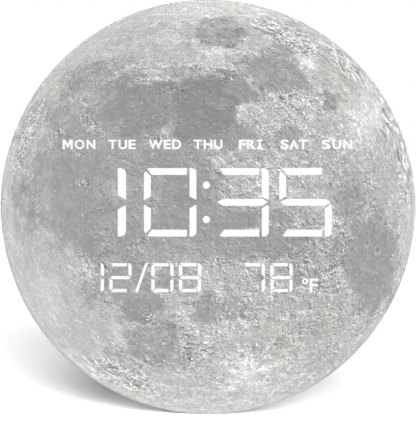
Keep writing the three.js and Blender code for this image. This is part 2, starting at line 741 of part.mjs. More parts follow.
function rearCover() {
  const disc = turned([
    [0, coverFront],
    [caseRadius, coverFront],
    [caseRadius, coverBack - CASE_EDGE_CHAMFER],
    [caseRadius - CASE_EDGE_CHAMFER, coverBack],
    [0, coverBack],
  ], CASE_SIDES);
  const plateauOutline = (margin) => roundedRectangle(
    PLATEAU_WIDTH - 2 * margin,
    PLATEAU_HEIGHT - 2 * margin,
    PLATEAU_CORNER - margin,
    0,
    PLATEAU_CENTRE_Z,
  );
  const plateau = plate(plateauOutline(0), 0, coverFront, PLATEAU_EDGE_ROUND);
  const hollow = plate(plateauOutline(COVER_THICKNESS), -COVER_THICKNESS, coverFront - PAST);
  const shell = carved(joined([disc, plateau]), [hollow]);

  const lipOuter = caseInner - COVER_FIT;
  const overlap = COVER_THICKNESS / 2;
  const lipRing = ring(
    lipOuter - COVER_LIP_WIDTH,
    lipOuter,
    coverFront + overlap,
    coverFront - COVER_LIP_HEIGHT,
    CASE_SIDES,
  );
  const lipNotches = coverScrewPlaces.map(({ x, z }) => {
    const front = coverFront - COVER_LIP_HEIGHT - PAST;
    return post(BOSS_RADIUS + COVER_FIT, coverFront, front, SCREW_SIDES, x, z);
  });
  const lip = carved(lipRing, lipNotches);
  const keyPosts = keyScrewXs.map((x) => {
    return post(POST_RADIUS, coverFront + overlap, keyBoardBack, SCREW_SIDES, x, buttonZ);
  });
  const solid = joined([shell, lip, ...keyPosts, hangerBlock(), batteryBlock()]);
  return carved(solid, [
    ...coverBores(),
    ...ventSlots(),
    ...hangerCutters(),
    ...batteryCutters(),
  ]);
}

function coverBores() {
  const back = coverBack + PAST;
  const screwBore = COVER_SCREW.shank + SCREW_CLEARANCE;
  const screwBores = coverScrewPlaces.map(({ x, z }) => {
    return post(screwBore, back, coverFront - PAST, SCREW_SIDES, x, z);
  });
  const buttonBores = buttonXs.map((x) => {
    return post(BUTTON_RADIUS + BUTTON_FIT, back, coverFront - PAST, BUTTON_SIDES, x, buttonZ);
  });
  const keyFloor = keyBoardFront + SMALL_SCREW.length + SCREW_CLEARANCE;
  const keyBores = keyScrewXs.map((x) => {
    const radius = SMALL_SCREW.shank + SCREW_CLEARANCE;
    return post(radius, keyFloor, keyBoardBack - PAST, SCREW_SIDES, x, buttonZ);
  });
  const jackBore = post(JACK_OUTER_RADIUS + JACK_FIT, COVER_THICKNESS + PAST, -PAST, JACK_SIDES);
  jackBore.applyMatrix4(UPRIGHT).translate(0, jackY, plateauBottom);
  return [...screwBores, ...buttonBores, ...keyBores, jackBore];
}

// A row of slots above the plateau.
function ventSlots() {
  const rowZ = caseRadius - VENT_EDGE - VENT_LENGTH / 2;
  return Array.from({ length: VENTS }, (_, i) => {
    const x = (i - (VENTS - 1) / 2) * VENT_PITCH;
    const outline = roundedRectangle(VENT_WIDTH, VENT_LENGTH, VENT_WIDTH / 2, x, rowZ, VENT_END_STEPS);
    return plate(outline, coverBack + PAST, coverFront - PAST);
  });
}

function hangerBlock() {
  const margin = 2 * (HANGER_FIT + HANGER_BLOCK_WALL);
  const outline = rectangle(HANGER_PLATE_WIDTH + margin, HANGER_PLATE_HEIGHT + margin, 0, hangerZ);
  return plate(outline, -COVER_THICKNESS / 2, hangerBlockFront);
}

function hangerCutters() {
  const recess = roundedRectangle(
    HANGER_PLATE_WIDTH + 2 * HANGER_FIT,
    HANGER_PLATE_HEIGHT + 2 * HANGER_FIT,
    HANGER_PLATE_CORNER + HANGER_FIT,
    0,
    hangerZ,
  );
  const pocket = rectangle(HANGER_POCKET_WIDTH, HANGER_POCKET_HEIGHT, 0, hangerZ);
  const bores = hangerScrewXs.map((x) => {
    const radius = SMALL_SCREW.shank + SCREW_CLEARANCE;
    const floor = -SMALL_SCREW.headHeight - SMALL_SCREW.length - SCREW_CLEARANCE;
    return post(radius, 0, floor, SCREW_SIDES, x, hangerZ);
  });
  return [plate(recess, PAST, -hangerRecess), plate(pocket, 0, hangerPocketFront), ...bores];
}

function batteryBlock() {
  const left = plateauLeft + COVER_THICKNESS / 2;
  const right = doorInnerX + BATTERY_BLOCK_WALL;
  const height = DOOR_WIDTH + 2 * (DOOR_TONGUE + DOOR_FIT + BATTERY_BLOCK_WALL);
  const outline = rectangle(right - left, height, (left + right) / 2, DOOR_CENTRE_Z);
  return plate(outline, -COVER_THICKNESS / 2, batteryFront);
}

function batteryCutters() {
  const left = plateauLeft - PAST;
  const length = doorInnerX + DOOR_FIT - left;
  const middleX = left + length / 2;
  const mouth = rectangle(length, DOOR_WIDTH + 2 * DOOR_FIT, middleX, DOOR_CENTRE_Z);
  const groove = rectangle(length, DOOR_WIDTH + 2 * (DOOR_TONGUE + DOOR_FIT), middleX, DOOR_CENTRE_Z);
  const grooveBack = -DOOR_THICKNESS + DOOR_TONGUE_THICKNESS + DOOR_FIT;
  const well = circle(CELL_RADIUS + CELL_FIT, CELL_SIDES, cellX, DOOR_CENTRE_Z);
  const slots = [positiveTail, negativeTail].map(({ x }) => {
    const width = CONTACT_THICKNESS + 2 * CONTACT_FIT;
    const outline = rectangle(width, CONTACT_WIDTH + 2 * CONTACT_FIT, x, DOOR_CENTRE_Z);
    return plate(outline, -doorRecess + PAST, batteryFront - PAST);
  });
  return [
    plate(mouth, PAST, -doorRecess),
    plate(groove, grooveBack, -doorRecess),
    plate(well, 0, cellPocketFront),
    ...slots,
  ];
}

// The contacts' tails go through the floor of the cell's well: one beside the cell, one below it.
const positiveTail = { x: cellX + CELL_RADIUS + CELL_FIT + CONTACT_THICKNESS / 2 };
const negativeTail = { x: cellX - NEGATIVE_CONTACT_LENGTH / 2 - CONTACT_THICKNESS / 2 };

function buildRear() {
  const rear = new THREE.Group();
  add(rear, 'rear_cover', rearCover(), FINISH.shell);
  coverScrewPlaces.forEach(({ x, z }, i) => {
    add(rear, `cover_screw_${i + 1}`, screw(COVER_SCREW), FINISH.steel, x, coverBack, z);
  });

  const plateOutline = roundedRectangle(HANGER_PLATE_WIDTH, HANGER_PLATE_HEIGHT, HANGER_PLATE_CORNER);
  const plateBlank = plate(plateOutline, HANGER_PLATE_THICKNESS, 0);
  const entryZ = -KEYHOLE_RISE / 2;
  const slotTop = entryZ + KEYHOLE_RISE;
  const keyhole = [
    circle(KEYHOLE_ENTRY_RADIUS, KEYHOLE_SIDES, 0, entryZ),
    rectangle(KEYHOLE_SLOT_WIDTH, KEYHOLE_RISE, 0, (entryZ + slotTop) / 2),
    circle(KEYHOLE_SLOT_WIDTH / 2, KEYHOLE_SIDES, 0, slotTop),
  ];
  const screwHoles = hangerScrewXs.map((x) => {
    return circle(SMALL_SCREW.shank + SCREW_CLEARANCE, SCREW_SIDES, x, 0);
  });
  const holes = [...keyhole, ...screwHoles].map((outline) => {
    return plate(outline, HANGER_PLATE_THICKNESS + PAST, -PAST);
  });
  add(rear, 'hanger_plate', carved(plateBlank, holes), FINISH.steel, 0, -hangerRecess, hangerZ);
  hangerScrewXs.forEach((x, i) => {
    const y = -SMALL_SCREW.headHeight;
    add(rear, `hanger_screw_${i + 1}`, screw(SMALL_SCREW), FINISH.steel, x, y, hangerZ);
  });

  const jackOutline = rectangle(JACK_BODY.width, JACK_BODY.depth);
  const jackBody = bar(jackOutline, COVER_THICKNESS, COVER_THICKNESS + JACK_BODY.length);
  const nose = post(JACK_OUTER_RADIUS, COVER_THICKNESS + PAST, 0, JACK_SIDES).applyMatrix4(UPRIGHT);
  const bore = post(JACK_BORE_RADIUS, JACK_BORE_DEPTH, -PAST, JACK_SIDES).applyMatrix4(UPRIGHT);
  const jack = carved(joined([jackBody, nose]), [bore]);
  add(rear, 'power_jack', jack, FINISH.chip, 0, jackY, plateauBottom);
  const pin = post(JACK_PIN_RADIUS, JACK_BORE_DEPTH, JACK_PIN_RECESS, SCREW_SIDES).applyMatrix4(UPRIGHT);
  add(rear, 'jack_pin', pin, FINISH.steel, 0, jackY, plateauBottom);
  return rear;
}

// Buttons, each with its switch

function buildKeys() {
  const keys = new THREE.Group();
  const flangeBack = flangeFront + BUTTON_FLANGE_THICKNESS;
  const capBack = coverBack + BUTTON_PROUD;
  const button = () => turned([
    [0, flangeFront],
    [BUTTON_FLANGE_RADIUS, flangeFront],
    [BUTTON_FLANGE_RADIUS, flangeBack],
    [BUTTON_RADIUS, flangeBack],
    [BUTTON_RADIUS, capBack - BUTTON_EDGE_CHAMFER],
    [BUTTON_RADIUS - BUTTON_EDGE_CHAMFER, capBack],
    [0, capBack],
  ], BUTTON_SIDES);
  const switchBore = post(PLUNGER_RADIUS + PLUNGER_FIT, switchBack + PAST, keyBoardBack - PAST, SCREW_SIDES);
  const switchBody = plate(rectangle(SWITCH_SIZE, SWITCH_SIZE), switchBack, keyBoardBack);
  BUTTON_NAMES.forEach((name, i) => {
    const x = buttonXs[i];
    const plunger = post(PLUNGER_RADIUS, flangeFront, switchBack - PLUNGER_REACH, SCREW_SIDES);
    add(keys, `button_${name}`, button(), FINISH.key, x, 0, buttonZ);
    add(keys, `switch_plunger_${name}`, plunger, FINISH.plug, x, 0, buttonZ);
    add(keys, `tact_switch_${name}`, carved(switchBody, [switchBore]), FINISH.chip, x, 0, buttonZ);
  });

  const outline = roundedRectangle(keyBoardWidth, KEY_BOARD_HEIGHT, KEY_BOARD_CORNER, 0, buttonZ);
  const bores = keyScrewXs.map((x) => {
    const radius = SMALL_SCREW.shank + SCREW_CLEARANCE;
    return post(radius, keyBoardBack + PAST, keyBoardFront - PAST, SCREW_SIDES, x, buttonZ);
  });
  add(keys, 'key_board', carved(plate(outline, keyBoardBack, keyBoardFront), bores), FINISH.board);
  keyScrewXs.forEach((x, i) => {
    const name = `key_board_screw_${i + 1}`;
    const mesh = add(keys, name, screw(SMALL_SCREW), FINISH.steel, x, keyBoardFront, buttonZ);
    mesh.rotation.x = Math.PI;
  });
  return keys;
}

// Back-up cell under its sliding door

function buildBattery() {
  const battery = new THREE.Group();
  const doorMiddle = DOOR_LENGTH / 2;
  const panel = plate(rectangle(DOOR_LENGTH, DOOR_WIDTH, doorMiddle, 0), 0, -DOOR_THICKNESS);
  const tongues = plate(
    rectangle(DOOR_LENGTH, DOOR_WIDTH + 2 * DOOR_TONGUE, doorMiddle, 0),
    -DOOR_THICKNESS + DOOR_TONGUE_THICKNESS,
    -DOOR_THICKNESS,
  );
  const grip = Array.from({ length: DOOR_GRIP_RIBS }, (_, i) => {
    const x = DOOR_GRIP_EDGE + i * DOOR_GRIP_PITCH;
    return plate(rectangle(DOOR_GRIP_RIB_WIDTH, DOOR_GRIP_LENGTH, x, 0), PAST, -DOOR_GRIP_DEPTH);
  });
  const door = carved(joined([panel, tongues]), grip);
  add(battery, 'battery_door', door, FINISH.shell, plateauLeft, 0, DOOR_CENTRE_Z);

  const cellFront = cellPocketFront + CONTACT_THICKNESS;
  const cell = turned([
    [0, 0],
    [CELL_RADIUS - CELL_CHAMFER, 0],
    [CELL_RADIUS, CELL_CHAMFER],
    [CELL_RADIUS, CELL_THICKNESS],
    [0, CELL_THICKNESS],
  ], CELL_SIDES);
  add(battery, 'coin_cell', cell, FINISH.steel, cellX, cellFront, DOOR_CENTRE_Z);

  const tailFront = batteryFront - CONTACT_TAIL;
  const half = CONTACT_WIDTH / 2;
  const positive = rectangle(CONTACT_THICKNESS, cellFront + CELL_THICKNESS - tailFront, positiveTail.x);
  const positiveStrip = bar(moved(positive, 0, (cellFront + CELL_THICKNESS + tailFront) / 2), -half, half);
  add(battery, 'cell_contact_positive', positiveStrip, FINISH.steel, 0, 0, DOOR_CENTRE_Z);
  const left = negativeTail.x - CONTACT_THICKNESS / 2;
  const negative = [
    [left, tailFront],
    [left + CONTACT_THICKNESS, tailFront],
    [left + CONTACT_THICKNESS, cellPocketFront],
    [left + CONTACT_THICKNESS + NEGATIVE_CONTACT_LENGTH, cellPocketFront],
    [left + CONTACT_THICKNESS + NEGATIVE_CONTACT_LENGTH, cellFront],
    [left, cellFront],
  ].map(([x, y]) => new THREE.Vector2(x, y));
  add(battery, 'cell_contact_negative', bar(negative, -half, half), FINISH.steel, 0, 0, DOOR_CENTRE_Z);
  return battery;
}

// Leads from the jack and the cell to the LED board, and the ribbon from the key board

function lead(start, startWay, end, endWay) {
  const points = [
    start,
    start.clone().addScaledVector(startWay, LEAD_STRAIGHT),
    end.clone().addScaledVector(endWay, LEAD_STRAIGHT),
    end,
  ];
  const section = new THREE.Shape(circle(LEAD_RADIUS, LEAD_SIDES));
  const extrudePath = new THREE.CatmullRomCurve3(points);
  return new THREE.ExtrudeGeometry(section, { steps: LEAD_STEPS, bevelEnabled: false, extrudePath });
}

function buildLeads() {
  const leads = new THREE.Group();
  const up = new THREE.Vector3(0, 0, 1);
  const back = new THREE.Vector3(0, 1, 0);
  const front = new THREE.Vector3(0, -1, 0);
  const colours = [{ name: 'red', side: -1 }, { name: 'black', side: 1 }];
  const plugBack = (plug, acrossX, acrossZ) => new THREE.Vector3(
    boardMiddleX + plug.x + acrossX,
    boardBack + plug.height + LEAD_END_GAP,
    boardMiddleZ + plug.z + acrossZ,
  );
  colours.forEach(({ name, side }) => {
    const across = (side * LEAD_PITCH) / 2;
    const jackTop = jackBodyBottom + JACK_BODY.length + LEAD_END_GAP;
    const start = new THREE.Vector3(across, jackY, jackTop);
    add(leads, `power_lead_${name}`, lead(start, up, plugBack(POWER_PLUG, across, 0), back), FINISH[name]);
  });
  const tails = { red: positiveTail.x, black: negativeTail.x };
  colours.forEach(({ name, side }) => {
    const across = (side * LEAD_PITCH) / 2;
    const tailFront = batteryFront - CONTACT_TAIL - LEAD_END_GAP;
    const start = new THREE.Vector3(tails[name], tailFront, DOOR_CENTRE_Z + across);
    add(leads, `cell_lead_${name}`, lead(start, front, plugBack(CELL_PLUG, 0, across), back), FINISH[name]);
  });

  const top = boardMiddleZ + keyPlugZ - KEY_PLUG.length / 2 - LEAD_END_GAP;
  const bottom = buttonZ + KEY_BOARD_HEIGHT / 2 + LEAD_END_GAP;
  const topY = boardBack + KEY_PLUG.height / 2;
  const bottomY = (keyBoardBack + keyBoardFront) / 2;
  const edge = (offset) => Array.from({ length: RIBBON_STEPS + 1 }, (_, i) => {
    const share = i / RIBBON_STEPS;
    const y = THREE.MathUtils.lerp(bottomY, topY, THREE.MathUtils.smoothstep(share, 0, 1));
    return new THREE.Vector2(y + offset, THREE.MathUtils.lerp(bottom, top, share));
  });
  const strip = [...edge(-RIBBON_THICKNESS / 2), ...edge(RIBBON_THICKNESS / 2).reverse()];
  const ribbon = bar(strip, -RIBBON_WIDTH / 2, RIBBON_WIDTH / 2).applyMatrix4(SIDEWAYS);
  add(leads, 'key_ribbon', ribbon, FINISH.ribbon);
  return leads;
}

const clock = new THREE.Group();
clock.add(buildFront(), buildBoard(), buildRear(), buildKeys(), buildBattery(), buildLeads());

export default clock;
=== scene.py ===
"""Looks of a round digital wall clock with a moon print on its face, built around its fixed frame.

Metres, +Z up. The face looks along -Y and the wall behind the clock is at y = 0.
"""

import functools
import json
import math

import bmesh
import bpy
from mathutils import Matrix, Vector


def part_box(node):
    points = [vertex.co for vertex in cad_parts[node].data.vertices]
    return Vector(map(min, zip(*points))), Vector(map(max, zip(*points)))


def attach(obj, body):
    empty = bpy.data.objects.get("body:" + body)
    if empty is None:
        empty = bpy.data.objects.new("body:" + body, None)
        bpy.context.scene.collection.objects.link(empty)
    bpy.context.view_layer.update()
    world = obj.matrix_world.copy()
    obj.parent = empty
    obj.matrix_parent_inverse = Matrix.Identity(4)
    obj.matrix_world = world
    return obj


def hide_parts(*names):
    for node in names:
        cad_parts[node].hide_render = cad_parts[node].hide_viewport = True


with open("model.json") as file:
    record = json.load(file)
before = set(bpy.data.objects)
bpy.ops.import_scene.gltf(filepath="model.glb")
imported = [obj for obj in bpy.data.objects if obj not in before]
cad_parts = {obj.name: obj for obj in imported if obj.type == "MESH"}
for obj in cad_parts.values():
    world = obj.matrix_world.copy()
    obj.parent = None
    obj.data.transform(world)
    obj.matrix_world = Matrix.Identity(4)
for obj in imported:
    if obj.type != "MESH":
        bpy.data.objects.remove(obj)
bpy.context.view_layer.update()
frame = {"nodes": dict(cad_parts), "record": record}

MM = 0.001

# Corners that lie closer than this are joined
JOIN_DISTANCE = 0.001 * MM

# The photograph's frame, and where the face lies in it
PHOTO_WIDTH = 416
PHOTO_HEIGHT = 423
DISC_CENTRE_PX = (208, 207)
DISC_RADIUS_PX = 207.5

# Places read from the frame
face_low, face_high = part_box("face_panel")
face_radius = (face_high.x - face_low.x) / 2
face_front = face_low.y
face_back = face_high.y

# Face
PRINT_RECESS = 0.1 * MM
GLYPH_DEPTH = 0.2 * MM
FACE_EDGE_ROUND = 1.2 * MM
FACE_EDGE_STEPS = 6
FACE_CAP_SHARE = 0.98
FACE_SIDES = 256

# Lit characters, in millimetres. Each lens reaches past its characters by the web margin.
WEB_MARGIN = 2.0
DIGIT = {"width": 37.9, "height": 49.5, "stroke": 4.95, "gap": 1.9, "corner_steps": 5}
LEAD_STROKE = 5.9
LEAD_GAP = 13.0
DIGIT_GAP = 7.6
COLON_SPACE = 14.4
COLON_DOT_RADIUS = 2.6
COLON_DOT_SPACING = 24.8
COLON_DOT_SIDES = 32
SMALL_DIGIT = {"width": 16.0, "height": 21.0, "stroke": 2.35, "gap": 1.1, "corner_steps": 1}
SMALL_DIGIT_GAP = 4.0
SLASH_STROKE = 2.0
SLASH_LEAN = 7.4
UNIT_GAP = 5.8
DEGREE_OUTER = 2.2
DEGREE_INNER = 0.85
DEGREE_DROP = 13.2
DEGREE_X = 3.1
DEGREE_SIDES = 32
UNIT_STEM = 1.9
UNIT_BAR = 1.6
UNIT_X = 6.6
UNIT_WIDTH = 6.4
UNIT_HEIGHT = 9.9
UNIT_MIDDLE = 4.35
UNIT_MIDDLE_REACH = 5.75

# Corner cuts of a segment, in strokes
BAR_TIP = (0.43, 0.07)
BAR_SHOULDER = 0.94
BAR_INNER = 1.14
SIDE_TIP = (0.23, 0.45)
SIDE_SHOULDER = 0.84
SIDE_INNER = 1.2
SIDE_END_OUTER = 0.35
SIDE_END_INNER = 0.86
MIDDLE_TIP = 0.12
OUTER_ROUND = 0.7

LIT_SEGMENTS = {
    "0": "abcdef",
    "1": "bc",
    "2": "abdeg",
    "3": "abcdg",
    "5": "acdfg",
    "7": "abc",
    "8": "abcdefg",
}

# Weekday words and their widths in millimetres
WORDS = {"MON": 23.6, "TUE": 19.9, "WED": 23.3, "THU": 20.9, "FRI": 17.4, "SAT": 19.5, "SUN": 21.8}
WORD_PITCH = 31.1
WORD_HEIGHT = 6.9
WORD_BOLD = 0.027
LETTER_WIDTHS = {
    "M": 7.3,
    "O": 7.1,
    "N": 6.3,
    "T": 6.3,
    "U": 6.2,
    "E": 5.2,
    "W": 9.8,
    "D": 6.4,
    "H": 6.4,
    "F": 5.1,
    "R": 6.7,
    "I": 4.6,
    "S": 6.0,
    "A": 7.1,
}
SLAB_STEM = 1.7
SLAB_BAR = 1.25
M_STEM = 1.6
M_TOP = 2.2
M_POINT = 0.5
M_POINT_HEIGHT = 1.3
M_VALLEY_HEIGHT = 3.7
M_SHOULDER_HEIGHT = 4.7

# Half the depth of lettering before it is stretched to its place, in font sizes
TEXT_HALF_DEPTH = 0.5

# Words at the rear buttons, in millimetres except for the depths. The cover's rear face lies at one
# depth all round its raised middle.
LABELS = {"button_set": "SET", "button_up": "UP", "button_down": "DOWN"}
LABEL_LETTER = 3.6
LABEL_HEIGHT = 4.4
LABEL_GAP = 2.4
LABEL_BOLD = 0.03
COVER_BACK = -12.0 * MM
INK_DEPTH = 0.05 * MM


# Meshes


def piece_from(bm, name, material):
    """Turns a bmesh into a piece that rides on the clock."""
    bmesh.ops.recalc_face_normals(bm, faces=bm.faces)
    mesh = bpy.data.meshes.new(name)
    bm.to_mesh(mesh)
    bm.free()
    mesh.materials.append(material)
    piece = bpy.data.objects.new(name, mesh)
    bpy.context.scene.collection.objects.link(piece)
    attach(piece, "clock")
    return piece


def prism(bm, outline, back, front):
    """Adds a plate with an outline of x and z in millimetres between two depths in metres."""
    rings = [[bm.verts.new((x * MM, y, z * MM)) for x, z in outline] for y in (front, back)]
    for ring in rings:
        bm.faces.new(ring)
    bridge(bm, *rings)


def bridge(bm, first, second):
    """Joins two rings of corners by a band of faces."""
    count = len(first)
    for i in range(count):
        after = (i + 1) % count
        bm.faces.new((first[i], first[after], second[after], second[i]))


def circle(radius, sides, x=0.0, z=0.0):
    """Corners of a many-sided circle as x and z."""
    angles = [2 * math.pi * i / sides for i in range(sides)]
    return [(x + radius * math.cos(a), z + radius * math.sin(a)) for a in angles]


def annulus(bm, outer, inner, x, z, sides, back, front):
    """Adds a flat ring in millimetres between two depths in metres."""
    rings = []
    for radius, y in ((outer, front), (outer, back), (inner, back), (inner, front)):
        rings.append([bm.verts.new((px * MM, y, pz * MM)) for px, pz in circle(radius, sides, x, z)])
    for i, ring in enumerate(rings):
        bridge(bm, ring, rings[(i + 1) % len(rings)])


def lathe(bm, profile, sides):
    """Adds a solid of revolution about Y from a profile of radius and y, with a flat cap at each end."""
    rings = []
    for radius, y in profile:
        rings.append([bm.verts.new((x, y, z)) for x, z in circle(radius, sides)])
    for first, second in zip(rings, rings[1:]):
        bridge(bm, first, second)
    bm.faces.new(rings[0])
    bm.faces.new(rings[-1])


# Outlines of the lit characters


def digit_segments(width, height, stroke, gap, corner_steps):
    """The seven segments of a digit, from its left edge and middle height."""
    top = height / 2
    inner = width - stroke
    rounding = OUTER_ROUND * stroke
    bar = [
        (BAR_TIP[0] * stroke, top - BAR_TIP[1] * stroke),
        (BAR_SHOULDER * stroke, top),
        (inner - gap, top),
        (inner - gap, top - stroke),
        (BAR_INNER * stroke, top - stroke),
    ]
    left = [
        (SIDE_TIP[0] * stroke, top - SIDE_TIP[1] * stroke),
        (stroke, top - SIDE_INNER * stroke),
        (stroke, SIDE_END_INNER * stroke),
        (0, SIDE_END_OUTER * stroke),
        (0, top - SIDE_SHOULDER * stroke),
    ]
    corner = []
    for i in range(corner_steps + 1):
        angle = math.pi / 2 * (1 - i / corner_steps)
        x = width - rounding + rounding * math.cos(angle)
        z = top - rounding + rounding * math.sin(angle)
        corner.append((x, z))
    right = [
        (inner, top),
        *corner,
        (width, SIDE_END_OUTER * stroke),
        (inner, SIDE_END_INNER * stroke),
    ]
    middle = [
        (MIDDLE_TIP * stroke, 0),
        (stroke, stroke / 2),
        (inner, stroke / 2),
        (width - MIDDLE_TIP * stroke, 0),
        (inner, -stroke / 2),
        (stroke, -stroke / 2),
    ]

    def mirrored(outline):
        return [(x, -z) for x, z in outline]

    return {
        "a": bar,
        "b": right,
        "c": mirrored(right),
        "d": mirrored(bar),
        "e": mirrored(left),
        "f": left,
        "g": middle,
    }


def lit_digit(character, digit, x, z):
    segments = digit_segments(**digit)
    return [[(px + x, pz + z) for px, pz in segments[name]] for name in LIT_SEGMENTS[character]]


def lens_area(node):
    """Left edge, right edge and middle height of a lens's characters, in millimetres."""
    low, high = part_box(node)
    return low.x / MM + WEB_MARGIN, high.x / MM - WEB_MARGIN, (low.z + high.z) / 2 / MM


def glyph_piece(name, outlines, material, rings=()):
    """Lit characters as thin plates that stand in the print, flush with the frame's face."""
    bm = bmesh.new()
    back = face_front + GLYPH_DEPTH
    for outline in outlines:
        prism(bm, outline, back, face_front)
    for ring in rings:
        annulus(bm, *ring, back, face_front)
    piece_from(bm, name, material)


def make_time(material):
    left, _, z = lens_area("time_lens")
    hour = left + LEAD_STROKE + LEAD_GAP
    colon = hour + DIGIT["width"] + COLON_SPACE / 2
    tens = colon + COLON_SPACE / 2
    units = tens + DIGIT["width"] + DIGIT_GAP
    lead = {**DIGIT, "width": LEAD_STROKE, "stroke": LEAD_STROKE}
    outlines = lit_digit("1", lead, left, z)
    for character, x in (("0", hour), ("3", tens), ("5", units)):
        outlines += lit_digit(character, DIGIT, x, z)
    for side in (1, -1):
        dot_z = z + side * COLON_DOT_SPACING / 2
        outlines.append(circle(COLON_DOT_RADIUS, COLON_DOT_SIDES, colon, dot_z))
    glyph_piece("time_glyphs", outlines, material)


def make_date(material):
    left, right, z = lens_area("date_lens")
    step = SMALL_DIGIT["width"] + SMALL_DIGIT_GAP
    second = right - step - SMALL_DIGIT["width"]
    outlines = []
    for character, x in (("1", left), ("2", left + step), ("0", second), ("8", second + step)):
        outlines += lit_digit(character, SMALL_DIGIT, x, z)
    slash_x = (left + right) / 2
    slash = []
    for side, end in ((-1, -1), (1, -1), (1, 1), (-1, 1)):
        x = slash_x + side * SLASH_STROKE / 2 + end * SLASH_LEAN / 2
        slash.append((x, z + end * SMALL_DIGIT["height"] / 2))
    glyph_piece("date_glyphs", [*outlines, slash], material)


def make_temperature(material):
    left, _, z = lens_area("temperature_lens")
    step = SMALL_DIGIT["width"] + SMALL_DIGIT_GAP
    unit_left = left + step + SMALL_DIGIT["width"] + UNIT_GAP
    base = z - SMALL_DIGIT["height"] / 2
    degree_z = z + SMALL_DIGIT["height"] / 2 - DEGREE_DROP
    degree = (DEGREE_OUTER, DEGREE_INNER, unit_left + DEGREE_X, degree_z, DEGREE_SIDES)
    outlines = [
        *lit_digit("7", SMALL_DIGIT, left, z),
        *lit_digit("8", SMALL_DIGIT, left + step, z),
        unit_letter(unit_left + UNIT_X, base),
    ]
    glyph_piece("temperature_glyphs", outlines, material, [degree])


def unit_letter(x, base):
    """The letter F as one outline, from its lower left corner."""
    top = base + UNIT_HEIGHT
    middle = base + UNIT_MIDDLE
    return [
        (x, base),
        (x + UNIT_STEM, base),
        (x + UNIT_STEM, middle),
        (x + UNIT_MIDDLE_REACH, middle),
        (x + UNIT_MIDDLE_REACH, middle + UNIT_BAR),
        (x + UNIT_STEM, middle + UNIT_BAR),
        (x + UNIT_STEM, top - UNIT_BAR),
        (x + UNIT_WIDTH, top - UNIT_BAR),
        (x + UNIT_WIDTH, top),
        (x, top),
    ]


def text_mesh(body, bold):
    """Lettering as a solid mesh that lies in x and y."""
    curve = bpy.data.curves.new(body, "FONT")
    curve.body = body
    curve.offset = bold
    curve.extrude = TEXT_HALF_DEPTH
    holder = bpy.data.objects.new(body, curve)
    bpy.context.scene.collection.objects.link(holder)
    graph = bpy.context.evaluated_depsgraph_get()
    mesh = bpy.data.meshes.new_from_object(holder.evaluated_get(graph))
    bpy.data.objects.remove(holder)
    bpy.data.curves.remove(curve)
    return mesh


def add_text(bm, body, bold, start, width, base, height, back, front):
    """Adds lettering to a bmesh, stretched to a width and a height in millimetres between two depths.

    It faces -Y and runs toward +X, or with a width below 0 it faces +Y and runs toward -X.
    """
    mesh = text_mesh(body, bold)
    low = Vector(min(v.co[i] for v in mesh.vertices) for i in range(3))
    high = Vector(max(v.co[i] for v in mesh.vertices) for i in range(3))
    size = high - low
    wide = width * MM / size.x
    tall = height * MM / size.y
    for vertex in mesh.vertices:
        x, y, z = vertex.co - low
        vertex.co = (start * MM + x * wide, back + (front - back) * z / size.z, base * MM + y * tall)
    bm.from_mesh(mesh)
    bpy.data.meshes.remove(mesh)


def slab_letter(x, base):
    """The letter I with a bar across its top and bottom, as one outline."""
    end = x + LETTER_WIDTHS["I"]
    left = (x + end - SLAB_STEM) / 2
    right = left + SLAB_STEM
    top = base + WORD_HEIGHT
    return [
        (x, base),
        (end, base),
        (end, base + SLAB_BAR),
        (right, base + SLAB_BAR),
        (right, top - SLAB_BAR),
        (end, top - SLAB_BAR),
        (end, top),
        (x, top),
        (x, top - SLAB_BAR),
        (left, top - SLAB_BAR),
        (left, base + SLAB_BAR),
        (x, base + SLAB_BAR),
    ]


def pointed_letter(x, base):
    """The letter M as one outline, whose middle point stops short of the foot."""
    width = LETTER_WIDTHS["M"]
    half = [
        (0, 0),
        (M_STEM, 0),
        (M_STEM, M_SHOULDER_HEIGHT),
        (width / 2 - M_POINT, M_POINT_HEIGHT),
    ]
    upper = [
        (M_TOP, WORD_HEIGHT),
        (0, WORD_HEIGHT),
    ]
    outline = [
        *half,
        *((width - px, pz) for px, pz in reversed(half)),
        *((width - px, pz) for px, pz in reversed(upper)),
        (width / 2, M_VALLEY_HEIGHT),
        *upper,
    ]
    return [(x + px, base + pz) for px, pz in outline]


DRAWN_LETTERS = {"I": slab_letter, "M": pointed_letter}


def make_weekdays(material):
    left, right, z = lens_area("weekday_lens")
    base = z - WORD_HEIGHT / 2
    back = face_front + GLYPH_DEPTH
    bm = bmesh.new()
    for i, (word, width) in enumerate(WORDS.items()):
        x = (left + right) / 2 + (i - (len(WORDS) - 1) / 2) * WORD_PITCH - width / 2
        gap = (width - sum(LETTER_WIDTHS[letter] for letter in word)) / (len(word) - 1)
        for letter in word:
            letter_width = LETTER_WIDTHS[letter]
            if letter in DRAWN_LETTERS:
                prism(bm, DRAWN_LETTERS[letter](x, base), back, face_front)
            else:
                add_text(bm, letter, WORD_BOLD, x, letter_width, base, WORD_HEIGHT, back, face_front)
            x += letter_width + gap
    bmesh.ops.remove_doubles(bm, verts=bm.verts, dist=JOIN_DISTANCE)
    piece_from(bm, "weekday_glyphs", material)


# Materials

# Places of the colour sockets on a mix node: its share and its two colours, and its result
MIX_INPUTS = (0, 6, 7)
MIX_OUTPUT = 2

WHITE = (1.0, 1.0, 1.0, 1.0)


